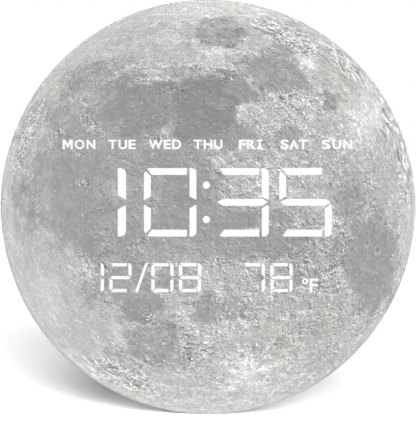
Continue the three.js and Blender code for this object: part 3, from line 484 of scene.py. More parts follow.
class Graph:
    """Adds nodes to a node tree and links them, so that a material reads as a formula."""

    def __init__(self, tree):
        self.nodes = tree.nodes
        self.links = tree.links

    def node(self, kind, inputs, **settings):
        made = self.nodes.new(kind)
        for name, value in settings.items():
            setattr(made, name, value)
        for key, value in inputs.items():
            self.put(made.inputs[key], value)
        return made

    def put(self, socket, value):
        if isinstance(value, bpy.types.NodeSocket):
            self.links.new(value, socket)
        else:
            socket.default_value = value

    def math(self, operation, *values):
        return self.node("ShaderNodeMath", dict(enumerate(values)), operation=operation).outputs[0]

    def vector_math(self, operation, *values):
        made = self.node("ShaderNodeVectorMath", dict(enumerate(values)), operation=operation)
        return made.outputs["Value" if operation in ("LENGTH", "DISTANCE", "DOT_PRODUCT") else "Vector"]

    def scaled(self, vector, factor):
        made = self.node("ShaderNodeVectorMath", {0: vector, "Scale": factor}, operation="SCALE")
        return made.outputs["Vector"]

    def combined(self, x, y, z):
        return self.node("ShaderNodeCombineXYZ", {0: x, 1: y, 2: z}).outputs[0]

    def place(self):
        """The point on the surface, in metres in the frame."""
        return self.node("ShaderNodeTexCoord", {}).outputs["Object"]

    def noise(self, vector, scale, detail=2.0, roughness=0.5, output=0):
        inputs = {"Vector": vector, "Scale": scale, "Detail": detail, "Roughness": roughness}
        return self.node("ShaderNodeTexNoise", inputs).outputs[output]

    def ramp(self, value, low, high, to_low=0.0, to_high=1.0):
        """Maps a value from low..high to to_low..to_high with a smooth rise."""
        inputs = {0: value, 1: low, 2: high, 3: to_low, 4: to_high}
        return self.node("ShaderNodeMapRange", inputs, interpolation_type="SMOOTHSTEP").outputs[0]

    def mixed(self, share, first, second):
        inputs = dict(zip(MIX_INPUTS, (share, first, second)))
        return self.node("ShaderNodeMix", inputs, data_type="RGBA").outputs[MIX_OUTPUT]

    def bump(self, height, strength, distance):
        inputs = {"Height": height, "Strength": strength, "Distance": distance}
        return self.node("ShaderNodeBump", inputs).outputs["Normal"]


def new_material(name):
    material = bpy.data.materials.new(name)
    material.use_nodes = True
    graph = Graph(material.node_tree)
    return material, graph, graph.nodes["Principled BSDF"].inputs


# Moon print. Places and sizes are in millimetres on a print of this radius, which is stretched to the
# face. Angles are in degrees and tones run from 0, black, to 1, white, as they look on the print.
PRINT_RADIUS = 150.0
HIGHLAND_TONE = 0.77
LIMB_TONE = 0.04
LIMB_START = 0.88
LIMB_SQUEEZE = 2.0
LEAST_RISE = 0.01
DARKEST_TONE = 0.3
PRINT_GAMMA = 2.2
WARM_TINT = (1.012, 1.0, 0.972, 1.0)
LILAC_TINT = (1.018, 0.995, 1.01, 1.0)
TINT_SCALE = 2.4
TINT_DETAIL = 3.0
TINT_EDGES = (0.35, 0.65)

# Dark plains: across, up, half width, half height, tilt, depth, softness of the edge
PLAINS = (
    (-71, 12, 56, 52, 0, 0.125, 0.25),
    (-42, -24, 45, 23, 0, 0.125, 0.35),
    (-14, 2, 28, 34, 0, 0.145, 0.4),
    (-92, 20, 18, 28, 0, 0.14, 0.4),
    (-20, 36, 22, 16, 0, 0.13, 0.45),
    (-132, 5, 10, 24, 0, 0.07, 0.6),
    (-52, 72, 31, 22, 0, 0.175, 0.25),
    (-87, 92, 19, 13, 0, 0.1, 0.45),
    (-87, 68, 9, 11, 0, 0.1, 0.5),
    (-99, 68, 13, 15, 0, 0.11, 0.5),
    (-4, 71, 25, 26, 0, 0.2, 0.16),
    (17, 83, 14, 11, 0, 0.165, 0.3),
    (17, 52, 22, 10, 0, 0.15, 0.45),
    (-36, 85, 15, 8, 0, 0.19, 0.35),
    (-36, 51, 9, 6, 0, 0.1, 0.5),
    (4, -14, 28, 24, 0, 0.14, 0.45),
    (46, -27, 26, 12, 0, 0.16, 0.4),
    (50, -4, 15, 9, 0, 0.12, 0.45),
    (74, -30, 29, 22, 0, 0.085, 0.5),
    (119, -40, 20, 38, 0, 0.14, 0.35),
    (132, -30, 8, 28, 0, 0.075, 0.6),
    (-52, -121, 10, 6, 0, 0.06, 0.5),
    (105, 2, 11, 16, 0, 0.12, 0.5),
    (63, -49, 29, 14, 0, 0.095, 0.5),
    (-48, -72, 18, 10, 0, 0.14, 0.3),
    (-58, -56, 20, 17, 0, 0.125, 0.35),
    (-84, -66, 10, 14, 0, 0.05, 0.5),
    (-29, -54, 9, 8, 0, 0.14, 0.4),
    (-39, -98, 23, 15, -12, 0.12, 0.35),
    (-17, -106, 14, 13, 0, 0.08, 0.5),
    (50, 80, 14, 8, 0, 0.06, 0.5),
    (28, 102, 11, 6, 0, 0.07, 0.5),
    (62, 50, 12, 7, 0, 0.125, 0.35),
    (42, 53, 10, 6, 0, 0.07, 0.5),
    (86, 76, 7, 7, 0, 0.09, 0.5),
    (59, -82, 80, 54, 0, 0.035, 0.5),
    (67, 27, 61, 43, 0, 0.03, 0.5),
    (-65, 99, 20, 9, 0, 0.09, 0.5),
    (-121, 41, 14, 36, 0, 0.065, 0.6),
    (-108, -27, 10, 8, 0, 0.085, 0.5),
    (-71, -106, 14, 11, 0, 0.05, 0.5),
)

# Plains with a clearer outline, in the same form
CLEAR_PLAINS = (
    (10, 126.5, 18, 11.5, -3, 0.11, 0.12),
    (-13, 97, 17, 7, 0, 0.1, 0.3),
    (51, 112, 10, 6, 0, 0.12, 0.3),
    (49, 96, 27, 13, -15, 0.13, 0.3),
    (-100, 60, 14, 14, 0, 0.1, 0.5),
    (-118, 29, 13, 12, 0, 0.12, 0.5),
    (-26, 30, 14, 14, 0, 0.165, 0.5),
    (29, -8, 10, 8, 0, 0.15, 0.5),
    (18, -31, 14, 9, 0, 0.13, 0.5),
    (-17, -58, 10, 9, 0, 0.09, 0.5),
    (93, -64, 13, 11, 0, 0.08, 0.5),
    (1, -75, 12, 12, 0, 0.12, 0.4),
    (-24, 58, 7, 6, 0, 0.13, 0.3),
)

# Light ground, in the same form, where depth is how much lighter it is
LIGHTS = (
    (72.5, 103.5, 6.5, 6.5, 0, 0.16, 0.6),
    (113, 60, 11, 18, 0, 0.1, 0.6),
    (9, 142, 40, 10, 0, 0.075, 0.6),
    (29, -117, 13, 7, 10, 0.13, 0.6),
    (36, -119, 26, 13, 10, 0.06, 0.6),
    (53, -107.5, 21.5, 2.5, 28, 0.07, 0.7),
    (20, -129.5, 19, 2.5, 22, 0.07, 0.7),
    (7, 112.5, 11, 2.5, 5, 0.08, 0.5),
    (-72.5, 76.5, 11, 2, 44, 0.07, 0.6),
    (-29, 58, 6.5, 3.5, 40, 0.09, 0.5),
    (-64.5, -92.5, 13, 3.5, -62, 0.08, 0.5),
    (-10, -40, 14, 5, 0, 0.07, 0.6),
    (-11.5, -95, 10, 7, 0, 0.035, 0.6),
    (-64, 14, 9, 10, 0, 0.05, 0.6),
    (84, 5, 16, 6, 0, 0.045, 0.6),
    (141.5, -16.5, 3.5, 16, 5, 0.02, 0.6),
    (-86.5, -116.5, 10, 3, -50, 0.06, 0.6),
    (26.5, 70, 5, 9, 15, 0.03, 0.6),
    (-29, 121, 9, 6, 0, 0.06, 0.5),
    (-115, -66, 9, 20, 15, 0.05, 0.6),
)

# Rough ground, in the same form, where depth is how much rougher it is
ROUGH = (
    (58, 123, 26, 7, -27, 2.2, 0.4),
    (100, 102, 22, 4, -45, 2, 0.4),
    (131, 67, 4, 27, 27, 1, 0.4),
    (68, 74.5, 17.5, 11.5, 0, 0.5, 0.4),
    (-25.5, 84.5, 9.5, 3, 0, 0.8, 0.4),
    (-84, 59.5, 12.5, 3.5, -45, 1, 0.4),
    (-110, 53, 4.5, 3.5, 0, 0.9, 0.4),
    (-93.5, 37.5, 6, 2, 0, 1, 0.4),
    (-89, 17.5, 7, 3, -15, 0.9, 0.4),
    (-50.5, -25.5, 8, 2, 35, 1.1, 0.4),
    (78, -43.5, 24.5, 19, -35, 0.4, 0.4),
    (-11.5, -100, 13, 12.5, 0, 0.6, 0.4),
    (-62, -122, 24, 6.5, -24, 1.6, 0.4),
    (-132, 48, 4, 26, -18, 0.9, 0.4),
    (141.5, 23, 4.5, 23, 0, 0.9, 0.4),
    (-42.5, -79.5, 4.5, 3.5, 0, 0.9, 0.4),
    (14.5, 96, 5, 6, 0, 0.6, 0.4),
)

# Calm ground, in the same form, where depth is the share of the relief that is worn away
CALM = (
    (-121, -17, 28, 75, 0, 0.6, 0.5),
    (-92, -92, 36, 28, 40, 0.5, 0.5),
    (-98, 62, 30, 34, 0, 0.5, 0.5),
    (-70, 115, 40, 18, 30, 0.3, 0.5),
)

# Long streaks along the rim, in the same form, where depth is their contrast
STREAKED = (
    (136, 48, 7, 36, 20, 1, 0.5),
    (96, 107, 30, 5, -42, 0.7, 0.5),
    (50, 135, 26, 5, -20, 0.7, 0.5),
    (-86, -114, 28, 6, -38, 0.5, 0.5),
    (-130, 62, 6, 30, -26, 0.5, 0.5),
)
STREAKS_ALONG = 17.0
STREAKS_ACROSS = 75.0

# Bright craters with rays: across, up, reach of the rays, tone
RAYED = (
    (110, 61, 34, 0.19),
    (32, -118, 36, 0.15),
    (73, 103, 11, 0.18),
    (5, 110, 18, 0.12),
)
RAY_SCALE = 4.0
RAY_DETAIL = 3.0
RAY_EDGES = (0.42, 0.68)

# Craters that stand out: across, up, radius
CRATERS = (
    (-97.6, 78.5, 2.5),
    (-88.9, 75.2, 2.3),
    (60.0, 78.1, 2.9),
    (26.6, 99.8, 2.9),
    (114.7, -27.5, 2.1),
    (122.5, -31.8, 2.2),
    (-20.7, -88.6, 2.7),
    (-18.2, -96.9, 2.5),
    (108.4, -77.4, 1.7),
    (75.9, -122.2, 2.2),
    (43.1, -125.1, 2.2),
    (-39.8, 35.8, 1.3),
    (-23.6, 67.4, 1.2),
    (62.0, -10.3, 1.3),
)
CRATER_RIM_TONE = 0.11
CRATER_SHADE_TONE = 0.16

# Parts of a crater in its radii: where its shade starts to fade, and its rim's start, crest and foot
CRATER_SHADE_FADE = 0.75
CRATER_RIM_START = 0.7
CRATER_RIM_CREST = 0.95
CRATER_RIM_FOOT = 1.35

# Wavering of the edges: waves per print radius, how far in millimetres, and the share for clear outlines
WAVER = {"scale": 7.0, "detail": 9.0, "roughness": 0.72}
WAVER_REACH = 42.0
SMALL_WAVER = 0.35

# Depths of a plain across which the ground turns to lowland, and across which its shore starts and ends
LOWLAND_EDGES = (0.01, 0.17)
SHORE_START = (0.01, 0.05)
SHORE_END = (0.08, 0.15)

# Ground under a low sun: pits by cells per print radius and height, their least radius and its spread in
# cells, their walls and banks in radii, and the ridges
PITS = ((16.0, 0.4), (30.0, 0.9), (52.0, 1.1))
PIT_RADIUS = (0.12, 0.3)
PIT_WALL = (0.7, 0.97)
PIT_BANK = (1.0, 1.28)
PIT_FLOOR = -0.25
PIT_WEAR = 3.0
PIT_WANDER = 0.03
PIT_WANDER_SCALE = 45.0
PIT_WANDER_DETAIL = 1.0
RIDGES = {"Scale": 16.0, "Detail": 4.0, "Roughness": 0.7, "Offset": 1.0, "Gain": 2.0}
RIDGE_HEIGHT = 0.65
GROUND_START = (0.0, 0.0, 0.5)
SUN_DIRECTION = (0.62, 0.78, 0.0)
SUN_STEP = 0.003
RELIEF_STEEPNESS = 1.4
RELIEF_TONE = 0.34
HIGHLAND_RELIEF = 0.6
PLAIN_RELIEF = 0.2
SHORE_RELIEF = 0.3
RELIEF_CLUSTERS = 4.0
LEAST_RELIEF = 0.2

# Soft clouds and fine specks
MOTTLE = {"scale": 9.0, "detail": 7.0, "roughness": 0.68}
MOTTLE_STRENGTH = 0.25
PLAIN_MOTTLE = 0.2
SHORE_MOTTLE = 0.6
SPECKLES = {"scale": 150.0, "detail": 0.0}
SPECKLE_STRENGTH = 0.22
PLAIN_SPECKLE = 0.12

# Small bright dots: cells per print radius, the chances between which a cell's dot grows from none to
# the largest, and that one's reach and soft edge in cells
DOT_SCALE = 38.0
DOT_CHANCES = (0.6, 1.0)
DOT_REACH = 0.3
DOT_EDGE = 0.1
DOT_TONE = 0.15

# Matte surface of the print: grain per metre, and its roughness, bumps and gloss
PRINT_GRAIN = {"scale": 2600.0, "detail": 3.0}
PRINT_ROUGHNESS = (0.66, 0.78)
PRINT_BUMP = {"strength": 0.08, "distance": 0.05 * MM}
PRINT_GLOSS = 0.3

# Most of a noise lies in this range
NOISE_RANGE = (0.3, 0.7)


def patch(graph, place, spot):
    """A soft ellipse: its depth inside, falling to nothing across its edge."""
    across, up, half_width, half_height, tilt, depth, softness = spot
    reach = 1 + softness
    ball = graph.node("ShaderNodeTexGradient", {"Vector": place}, gradient_type="SPHERICAL")
    ball.texture_mapping.vector_type = "TEXTURE"
    ball.texture_mapping.translation = (across, up, 0)
    ball.texture_mapping.rotation = (0, 0, math.radians(tilt))
    ball.texture_mapping.scale = (half_width * reach, half_height * reach, 1)
    return graph.ramp(ball.outputs["Fac"], 0.0, 2 * softness / reach, 0.0, depth)


def deepest(graph, place, spots):
    """The greatest depth of many patches at a place."""
    patches = (patch(graph, place, spot) for spot in spots)
    return functools.reduce(lambda first, second: graph.math("MAXIMUM", first, second), patches)


def crater_tone(graph, place):
    """Light rims round bowls that are dark toward the sun, for the craters that stand out."""
    total = 0.0
    sunward = graph.vector_math("DOT_PRODUCT", place, SUN_DIRECTION)
    for across, up, radius in CRATERS:
        away = graph.vector_math("DISTANCE", place, (across, up, 0.0))
        fade = radius * CRATER_SHADE_FADE
        bowl = graph.ramp(away, fade, radius, CRATER_SHADE_TONE / radius, 0.0)
        middle = across * SUN_DIRECTION[0] + up * SUN_DIRECTION[1]
        shade = graph.math("MULTIPLY", graph.math("SUBTRACT", sunward, middle), bowl)
        start = radius * CRATER_RIM_START
        inner = graph.ramp(away, start, radius * CRATER_RIM_CREST, 0.0, CRATER_RIM_TONE)
        outer = graph.ramp(away, radius, radius * CRATER_RIM_FOOT, 0.0, CRATER_RIM_TONE)
        rim = graph.math("SUBTRACT", inner, outer)
        total = graph.math("ADD", total, graph.math("SUBTRACT", rim, shade))
    return total


def ray_tone(graph, place):
    """Light streaks that fade outward from the bright craters."""
    total = 0.0
    for across, up, reach, tone in RAYED:
        centre = (across, up, 0.0)
        offset = graph.vector_math("SUBTRACT", place, centre)
        fade = graph.ramp(graph.vector_math("LENGTH", offset), 0.0, reach, tone, 0.0)
        direction = graph.vector_math("ADD", graph.vector_math("NORMALIZE", offset), centre)
        streak = graph.ramp(graph.noise(direction, RAY_SCALE, RAY_DETAIL), *RAY_EDGES)
        total = graph.math("MULTIPLY_ADD", fade, streak, total)
    return total


def streak_tone(graph, disc, out, place):
    """Light and dark streaks along the rim, where a globe's ground is seen at a slant."""
    along = graph.math("MULTIPLY", graph.math("ARCTAN2", disc[2], disc[0]), STREAKS_ALONG)
    across = graph.math("MULTIPLY", out, STREAKS_ACROSS)
    streaks = centred(graph, graph.noise(graph.combined(along, across, 0.0), 1.0))
    return graph.math("MULTIPLY", streaks, deepest(graph, place, STREAKED))


def dot_tone(graph, point):
    """Bright dots in some of the cells that the ground is split into."""
    cells = graph.node("ShaderNodeTexVoronoi", {"Vector": point, "Scale": DOT_SCALE})
    chance = graph.node("ShaderNodeSeparateColor", {0: cells.outputs["Color"]}).outputs[0]
    reach = graph.ramp(chance, *DOT_CHANCES, 0.0, DOT_REACH)
    inward = graph.math("SUBTRACT", reach, cells.outputs["Distance"])
    return graph.ramp(inward, 0.0, DOT_EDGE, 0.0, DOT_TONE)


def pitted_ground():
    """Node group: height of the ground at a point of the globe."""
    tree = bpy.data.node_groups.new("pitted_ground", "ShaderNodeTree")
    tree.interface.new_socket("Point", in_out="INPUT", socket_type="NodeSocketVector")
    tree.interface.new_socket("Height", in_out="OUTPUT", socket_type="NodeSocketFloat")
    graph = Graph(tree)
    point = graph.nodes.new("NodeGroupInput").outputs[0]
    wander = graph.noise(point, PIT_WANDER_SCALE, PIT_WANDER_DETAIL, output="Color")
    bent = graph.vector_math("MULTIPLY_ADD", wander, (PIT_WANDER, PIT_WANDER, PIT_WANDER), point)
    inputs = {"Vector": bent, **RIDGES}
    ridges = graph.node("ShaderNodeTexNoise", inputs, noise_type="RIDGED_MULTIFRACTAL")
    total = graph.math("MULTIPLY", ridges.outputs[0], RIDGE_HEIGHT)
    for scale, height in PITS:
        cells = graph.node("ShaderNodeTexVoronoi", {"Vector": bent, "Scale": scale})
        chances = graph.node("ShaderNodeSeparateColor", {0: cells.outputs["Color"]}).outputs
        radius = graph.math("MULTIPLY_ADD", chances[0], PIT_RADIUS[1], PIT_RADIUS[0])
        away = graph.math("DIVIDE", cells.outputs["Distance"], radius)
        wall = graph.ramp(away, *PIT_WALL, PIT_FLOOR, 1.0)
        bank = graph.ramp(away, *PIT_BANK)
        worn = graph.math("MULTIPLY", graph.math("POWER", chances[1], PIT_WEAR), height)
        total = graph.math("MULTIPLY_ADD", graph.math("SUBTRACT", wall, bank), worn, total)
    graph.put(graph.nodes.new("NodeGroupOutput").inputs[0], total)
    return tree


def lit_relief(graph, point):
    """Slope of the ground toward the print's own sun: above 0 where lit and below 0 in shade."""
    ground = pitted_ground()
    heights = []
    for side in (-1, 1):
        sample = graph.node("ShaderNodeGroup", {}, node_tree=ground)
        step = tuple(start + side * SUN_STEP * part for start, part in zip(GROUND_START, SUN_DIRECTION))
        graph.put(sample.inputs[0], graph.vector_math("ADD", point, step))
        heights.append(sample.outputs[0])
    return graph.math("SUBTRACT", *heights)


def centred(graph, noise):
    """A noise that runs evenly above and below 0."""
    return graph.math("SUBTRACT", noise, 0.5)


def ground_texture(graph, point, place, plain, broken):
    """Light and shade of rough ground, clouds, specks and dots, most of them weaker on the plains."""

    def by_ground(highland, lowland):
        return graph.ramp(plain, *LOWLAND_EDGES, highland, lowland)

    rough = deepest(graph, place, ROUGH)
    mottle = centred(graph, graph.noise(point, **MOTTLE))
    shore_start = graph.ramp(plain, *SHORE_START)
    shore = graph.math("MULTIPLY", shore_start, graph.ramp(plain, *SHORE_END, 1.0, 0.0))
    clusters = graph.math("MULTIPLY_ADD", mottle, RELIEF_CLUSTERS, 1.0)
    clusters = graph.math("MAXIMUM", clusters, LEAST_RELIEF)
    ground = graph.math("MULTIPLY_ADD", shore, SHORE_RELIEF, by_ground(HIGHLAND_RELIEF, PLAIN_RELIEF))
    kept = graph.math("SUBTRACT", 1.0, deepest(graph, place, CALM))
    roughness = graph.math("MULTIPLY_ADD", graph.math("MULTIPLY", ground, kept), clusters, rough)
    slope = graph.math("MULTIPLY", lit_relief(graph, point), RELIEF_STEEPNESS)
    relief = graph.math("TANH", graph.math("MULTIPLY", slope, roughness))
    texture = graph.math("MULTIPLY", relief, RELIEF_TONE)
    texture = graph.math("MULTIPLY_ADD", mottle, by_ground(MOTTLE_STRENGTH, PLAIN_MOTTLE), texture)
    ragged = graph.math("MULTIPLY", centred(graph, broken), SHORE_MOTTLE)
    texture = graph.math("MULTIPLY_ADD", shore, ragged, texture)
    specks = centred(graph, graph.noise(point, **SPECKLES))
    texture = graph.math("MULTIPLY_ADD", specks, by_ground(SPECKLE_STRENGTH, PLAIN_SPECKLE), texture)
    return graph.math("ADD", texture, dot_tone(graph, point))


def moon_print():
    """Matte print of a globe: light highlands and dark plains, squeezed together toward its rim."""
    material, graph, surface = new_material("moon_print")
    disc = graph.node("ShaderNodeSeparateXYZ", {0: graph.scaled(graph.place(), 1 / face_radius)}).outputs
    flat = graph.combined(disc[0], disc[2], 0.0)
    out = graph.vector_math("LENGTH", flat)
    rise = graph.math("SUBTRACT", 1.0, graph.math("MULTIPLY", out, out))
    toward = graph.math("SQRT", graph.math("MAXIMUM", rise, LEAST_RISE))
    globe = graph.combined(disc[0], disc[2], toward)
    depth = graph.math("MULTIPLY_ADD", toward, LIMB_SQUEEZE, 1 - LIMB_SQUEEZE)
    ground_point = graph.combined(disc[0], disc[2], depth)

    sheet = graph.scaled(flat, PRINT_RADIUS)
    waver = graph.noise(globe, **WAVER, output="Color")
    across, up, broken = graph.node("ShaderNodeSeparateColor", {0: waver}).outputs
    parts = [graph.math("MULTIPLY_ADD", part, WAVER_REACH, -WAVER_REACH / 2) for part in (across, up)]
    shift = graph.combined(*parts, 0.0)
    place = graph.vector_math("ADD", sheet, shift)
    close_place = graph.vector_math("ADD", sheet, graph.scaled(shift, SMALL_WAVER))

    ragged_plain = deepest(graph, place, PLAINS)
    plain = graph.math("MAXIMUM", ragged_plain, deepest(graph, close_place, CLEAR_PLAINS))
    light = deepest(graph, close_place, LIGHTS)
    texture = ground_texture(graph, ground_point, close_place, plain, broken)
    texture = graph.math("ADD", texture, streak_tone(graph, disc, out, close_place))

    limb = graph.ramp(out, LIMB_START, 1.0, HIGHLAND_TONE, HIGHLAND_TONE + LIMB_TONE)
    tone = graph.math("ADD", graph.math("SUBTRACT", limb, plain), light)
    tone = graph.math("ADD", tone, graph.math("ADD", texture, crater_tone(graph, close_place)))
    tone = graph.math("ADD", tone, ray_tone(graph, close_place))
    reflected = graph.math("POWER", graph.math("MAXIMUM", tone, DARKEST_TONE), PRINT_GAMMA)
    share = graph.ramp(graph.noise(globe, TINT_SCALE, TINT_DETAIL), *TINT_EDGES)
    tint = graph.mixed(share, WARM_TINT, LILAC_TINT)
    graph.put(surface["Base Color"], graph.scaled(tint, reflected))
    grain = graph.noise(graph.place(), **PRINT_GRAIN)
    graph.put(surface["Roughness"], graph.ramp(grain, *NOISE_RANGE, *PRINT_ROUGHNESS))
    graph.put(surface["Normal"], graph.bump(grain, **PRINT_BUMP))
    surface["Specular IOR Level"].default_value = PRINT_GLOSS
    return material


# Milky lens: its haze per metre, and the glow across the haze's range
HAZE = {"scale": 160.0, "detail": 3.0}
HAZE_RANGE = (0.2, 0.8)
GLOW_RANGE = (0.84, 0.93)
LENS_COLOUR = (0.05, 0.05, 0.05, 1.0)
LENS_ROUGHNESS = 0.6

# Moulded surfaces: clouds per metre and their shade, and the grain and its gloss
CLOUDS = {"scale": 28.0, "detail": 5.0, "roughness": 0.6}
CLOUD_SHADE = 0.93
GRAIN = {"detail": 3.0, "roughness": 0.6}
GRAIN_STRENGTH = 0.35
GLOSS_SPREAD = 0.06

# Plated steel: brush marks per metre along each axis, and the bloom of its tint
BRUSH_SCALE = (900.0, 900.0, 6000.0)
BRUSH = {"scale": 1.0, "detail": 4.0, "roughness": 0.6}
BRUSH_RANGE = (0.25, 0.75)
BRUSH_BUMP = {"strength": 0.15, "distance": 0.02 * MM}
STEEL_ROUGHNESS = (0.24, 0.42)
BLOOM = {"scale": 220.0, "detail": 4.0}
BLOOM_TINT = (1.05, 1.0, 0.86)

# Moulded materials by slot: name, roughness, grain per metre and its depth in millimetres
MOULDED = {
    "lens": ("milky_lens", 0.45, 900.0, 0.01),
    "case": ("case_plastic", 0.5, 2400.0, 0.06),
    "mask": ("reflector", 0.6, 1500.0, 0.02),
    "tape": ("foam_tape", 0.9, 1200.0, 0.1),
    "board": ("solder_mask", 0.4, 700.0, 0.02),
    "chip": ("moulded_resin", 0.55, 3000.0, 0.03),
    "connector": ("nylon", 0.5, 1800.0, 0.02),
    "button": ("soft_key", 0.7, 3200.0, 0.03),
    "lead_red": ("red_insulation", 0.5, 1600.0, 0.02),
    "lead_black": ("black_insulation", 0.5, 1600.0, 0.02),
    "ribbon": ("ribbon_insulation", 0.5, 1600.0, 0.02),
}


def lit_lens():
    """White light through a milky lens, a little uneven as real diffusers are."""
    material, graph, surface = new_material("lit_lens")
    haze = graph.noise(graph.place(), **HAZE)
    surface["Base Color"].default_value = LENS_COLOUR
    surface["Emission Color"].default_value = WHITE
    graph.put(surface["Emission Strength"], graph.ramp(haze, *HAZE_RANGE, *GLOW_RANGE))
    surface["Roughness"].default_value = LENS_ROUGHNESS
    return material


def moulded(name, colour, roughness, grain_scale, grain_depth):
    """Moulded plastic or rubber: slight clouding in its colour, a fine grain and uneven gloss."""
    material, graph, surface = new_material(name)
    place = graph.place()
    darker = tuple(CLOUD_SHADE * part for part in colour)
    shade = graph.ramp(graph.noise(place, **CLOUDS), *NOISE_RANGE)
    graph.put(surface["Base Color"], graph.mixed(shade, (*darker, 1.0), (*colour, 1.0)))
    grain = graph.noise(place, grain_scale, **GRAIN)
    gloss = (roughness - GLOSS_SPREAD, roughness + GLOSS_SPREAD)
    graph.put(surface["Roughness"], graph.ramp(grain, *NOISE_RANGE, *gloss))
    graph.put(surface["Normal"], graph.bump(grain, GRAIN_STRENGTH, grain_depth * MM))
    return material


def plated(name, colour):
    """Zinc plated steel with fine brush marks and a faint passivated tint."""
    material, graph, surface = new_material(name)
    place = graph.place()
    marks = graph.noise(graph.vector_math("MULTIPLY", place, BRUSH_SCALE), **BRUSH)
    bloom = graph.noise(place, **BLOOM)
    tinted = tuple(part * tint for part, tint in zip(colour, BLOOM_TINT))
    graph.put(surface["Base Color"], graph.mixed(bloom, (*colour, 1.0), (*tinted, 1.0)))
    graph.put(surface["Roughness"], graph.ramp(marks, *BRUSH_RANGE, *STEEL_ROUGHNESS))
    graph.put(surface["Normal"], graph.bump(marks, **BRUSH_BUMP))
    surface["Metallic"].default_value = 1.0
    return material


colours = {entry["slot"]: tuple(entry["base_color"]) for entry in frame["record"]["materials"]}
finishes = {slot: moulded(name, colours[slot], *grain) for slot, (name, *grain) in MOULDED.items()}
finishes["steel"] = plated("plated_steel", colours["steel"])
finishes["face_print"] = moon_print()


# Solids from the frame: their corners are joined, faces split across a flat are made one, their edges
# are rounded a little and their sides shaded smooth

SMOOTH_ANGLE = math.radians(30)
FLAT_ANGLE = math.radians(0.5)
FLAT_WEIGHT = 100
EDGE_STEPS = 2
EDGE_ROUND = {"case": 0.4 * MM, "button": 0.5 * MM, "steel": 0.12 * MM}
EDGE_ROUND_OTHER = 0.15 * MM


def geometry_group(name):
    tree = bpy.data.node_groups.new(name, "GeometryNodeTree")
    tree.interface.new_socket("Geometry", in_out="INPUT", socket_type="NodeSocketGeometry")
    tree.interface.new_socket("Geometry", in_out="OUTPUT", socket_type="NodeSocketGeometry")
    graph = Graph(tree)
    return tree, graph, graph.nodes.new("NodeGroupInput").outputs[0]


def joined_corners():
    tree, graph, geometry = geometry_group("joined_corners")
    merged = graph.node("GeometryNodeMergeByDistance", {"Geometry": geometry, "Distance": JOIN_DISTANCE})
    inputs = {"Geometry": merged.outputs[0], "Name": "custom_normal"}
    bare = graph.node("GeometryNodeRemoveAttribute", inputs)
    graph.put(graph.nodes.new("NodeGroupOutput").inputs[0], bare.outputs[0])
    return tree


def smooth_sides():
    tree, graph, geometry = geometry_group("smooth_sides")
    faces = graph.node("GeometryNodeSetShadeSmooth", {"Geometry": geometry}, domain="FACE")
    every = graph.node("GeometryNodeSetShadeSmooth", {"Geometry": faces.outputs[0]}, domain="EDGE")
    angle = graph.node("GeometryNodeInputMeshEdgeAngle", {}).outputs[0]
    sharp = graph.math("GREATER_THAN", angle, SMOOTH_ANGLE)
    edges = graph.node(
        "GeometryNodeSetShadeSmooth",
        {"Geometry": every.outputs[0], "Selection": sharp, "Shade Smooth": False},
        domain="EDGE",
    )
    graph.put(graph.nodes.new("NodeGroupOutput").inputs[0], edges.outputs[0])
    return tree


corner_group = joined_corners()
shade_group = smooth_sides()


def dress(part):
    """Gives a solid its finish, round edges and smooth sides."""
    node = frame["nodes"][part["node"]]
    slot = part["material_slot"]
    node.data.materials.clear()
    node.data.materials.append(finishes[slot])
    node.modifiers.new("join_corners", "NODES").node_group = corner_group
    flat = node.modifiers.new("join_flat_faces", "DECIMATE")
    flat.decimate_type = "DISSOLVE"
    flat.angle_limit = FLAT_ANGLE
    rounding = node.modifiers.new("round_edges", "BEVEL")
    rounding.width = EDGE_ROUND.get(slot, EDGE_ROUND_OTHER)
    rounding.segments = EDGE_STEPS
    rounding.limit_method = "ANGLE"
    rounding.angle_limit = SMOOTH_ANGLE
    node.modifiers.new("smooth_sides", "NODES").node_group = shade_group
    flatness = node.modifiers.new("keep_flat_faces", "WEIGHTED_NORMAL")
    flatness.weight = FLAT_WEIGHT
    flatness.keep_sharp = True


for part in frame["record"]["subparts"]:
    dress(part)


def make_face():
    """The printed disc with its rounded edge, which stands in for the frame's plain one."""
    rim = face_radius - FACE_EDGE_ROUND
    front = face_front + PRINT_RECESS
    profile = [(rim * FACE_CAP_SHARE, front)]
    for i in range(FACE_EDGE_STEPS + 1):
        angle = math.pi / 2 * (1 - i / FACE_EDGE_STEPS)
        out = FACE_EDGE_ROUND * math.cos(angle)
        profile.append((rim + out, front + FACE_EDGE_ROUND * (1 - math.sin(angle))))
    profile.append((face_radius, face_back))
    bm = bmesh.new()
    lathe(bm, profile, FACE_SIDES)
    face = piece_from(bm, "moon_face", finishes["face_print"])
    face.modifiers.new("smooth_sides", "NODES").node_group = shade_group
    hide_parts("face_panel")


def make_labels(material):
    """A word above each rear button."""
    bm = bmesh.new()
    front = COVER_BACK + INK_DEPTH
    for node, word in LABELS.items():
        low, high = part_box(node)
        width = LABEL_LETTER * len(word)
        start = (low.x + high.x) / 2 / MM + width / 2
        base = high.z / MM + LABEL_GAP
        add_text(bm, word, LABEL_BOLD, start, -width, base, LABEL_HEIGHT, COVER_BACK, front)
    piece_from(bm, "button_labels", material)


make_face()
make_labels(finishes["button"])
glow = lit_lens()
make_time(glow)
make_date(glow)
make_temperature(glow)
make_weekdays(glow)


# Camera, light and floor. The floor and the sky look brighter to the camera than the light they give.

CAMERA_DISTANCE = 0.7
SENSOR = 36.0
WORLD_STRENGTH = 0.017
FLOOR_SIZE = 40.0
FLOOR_COLOUR = 0.7
FLOOR_SEEN = 4.6

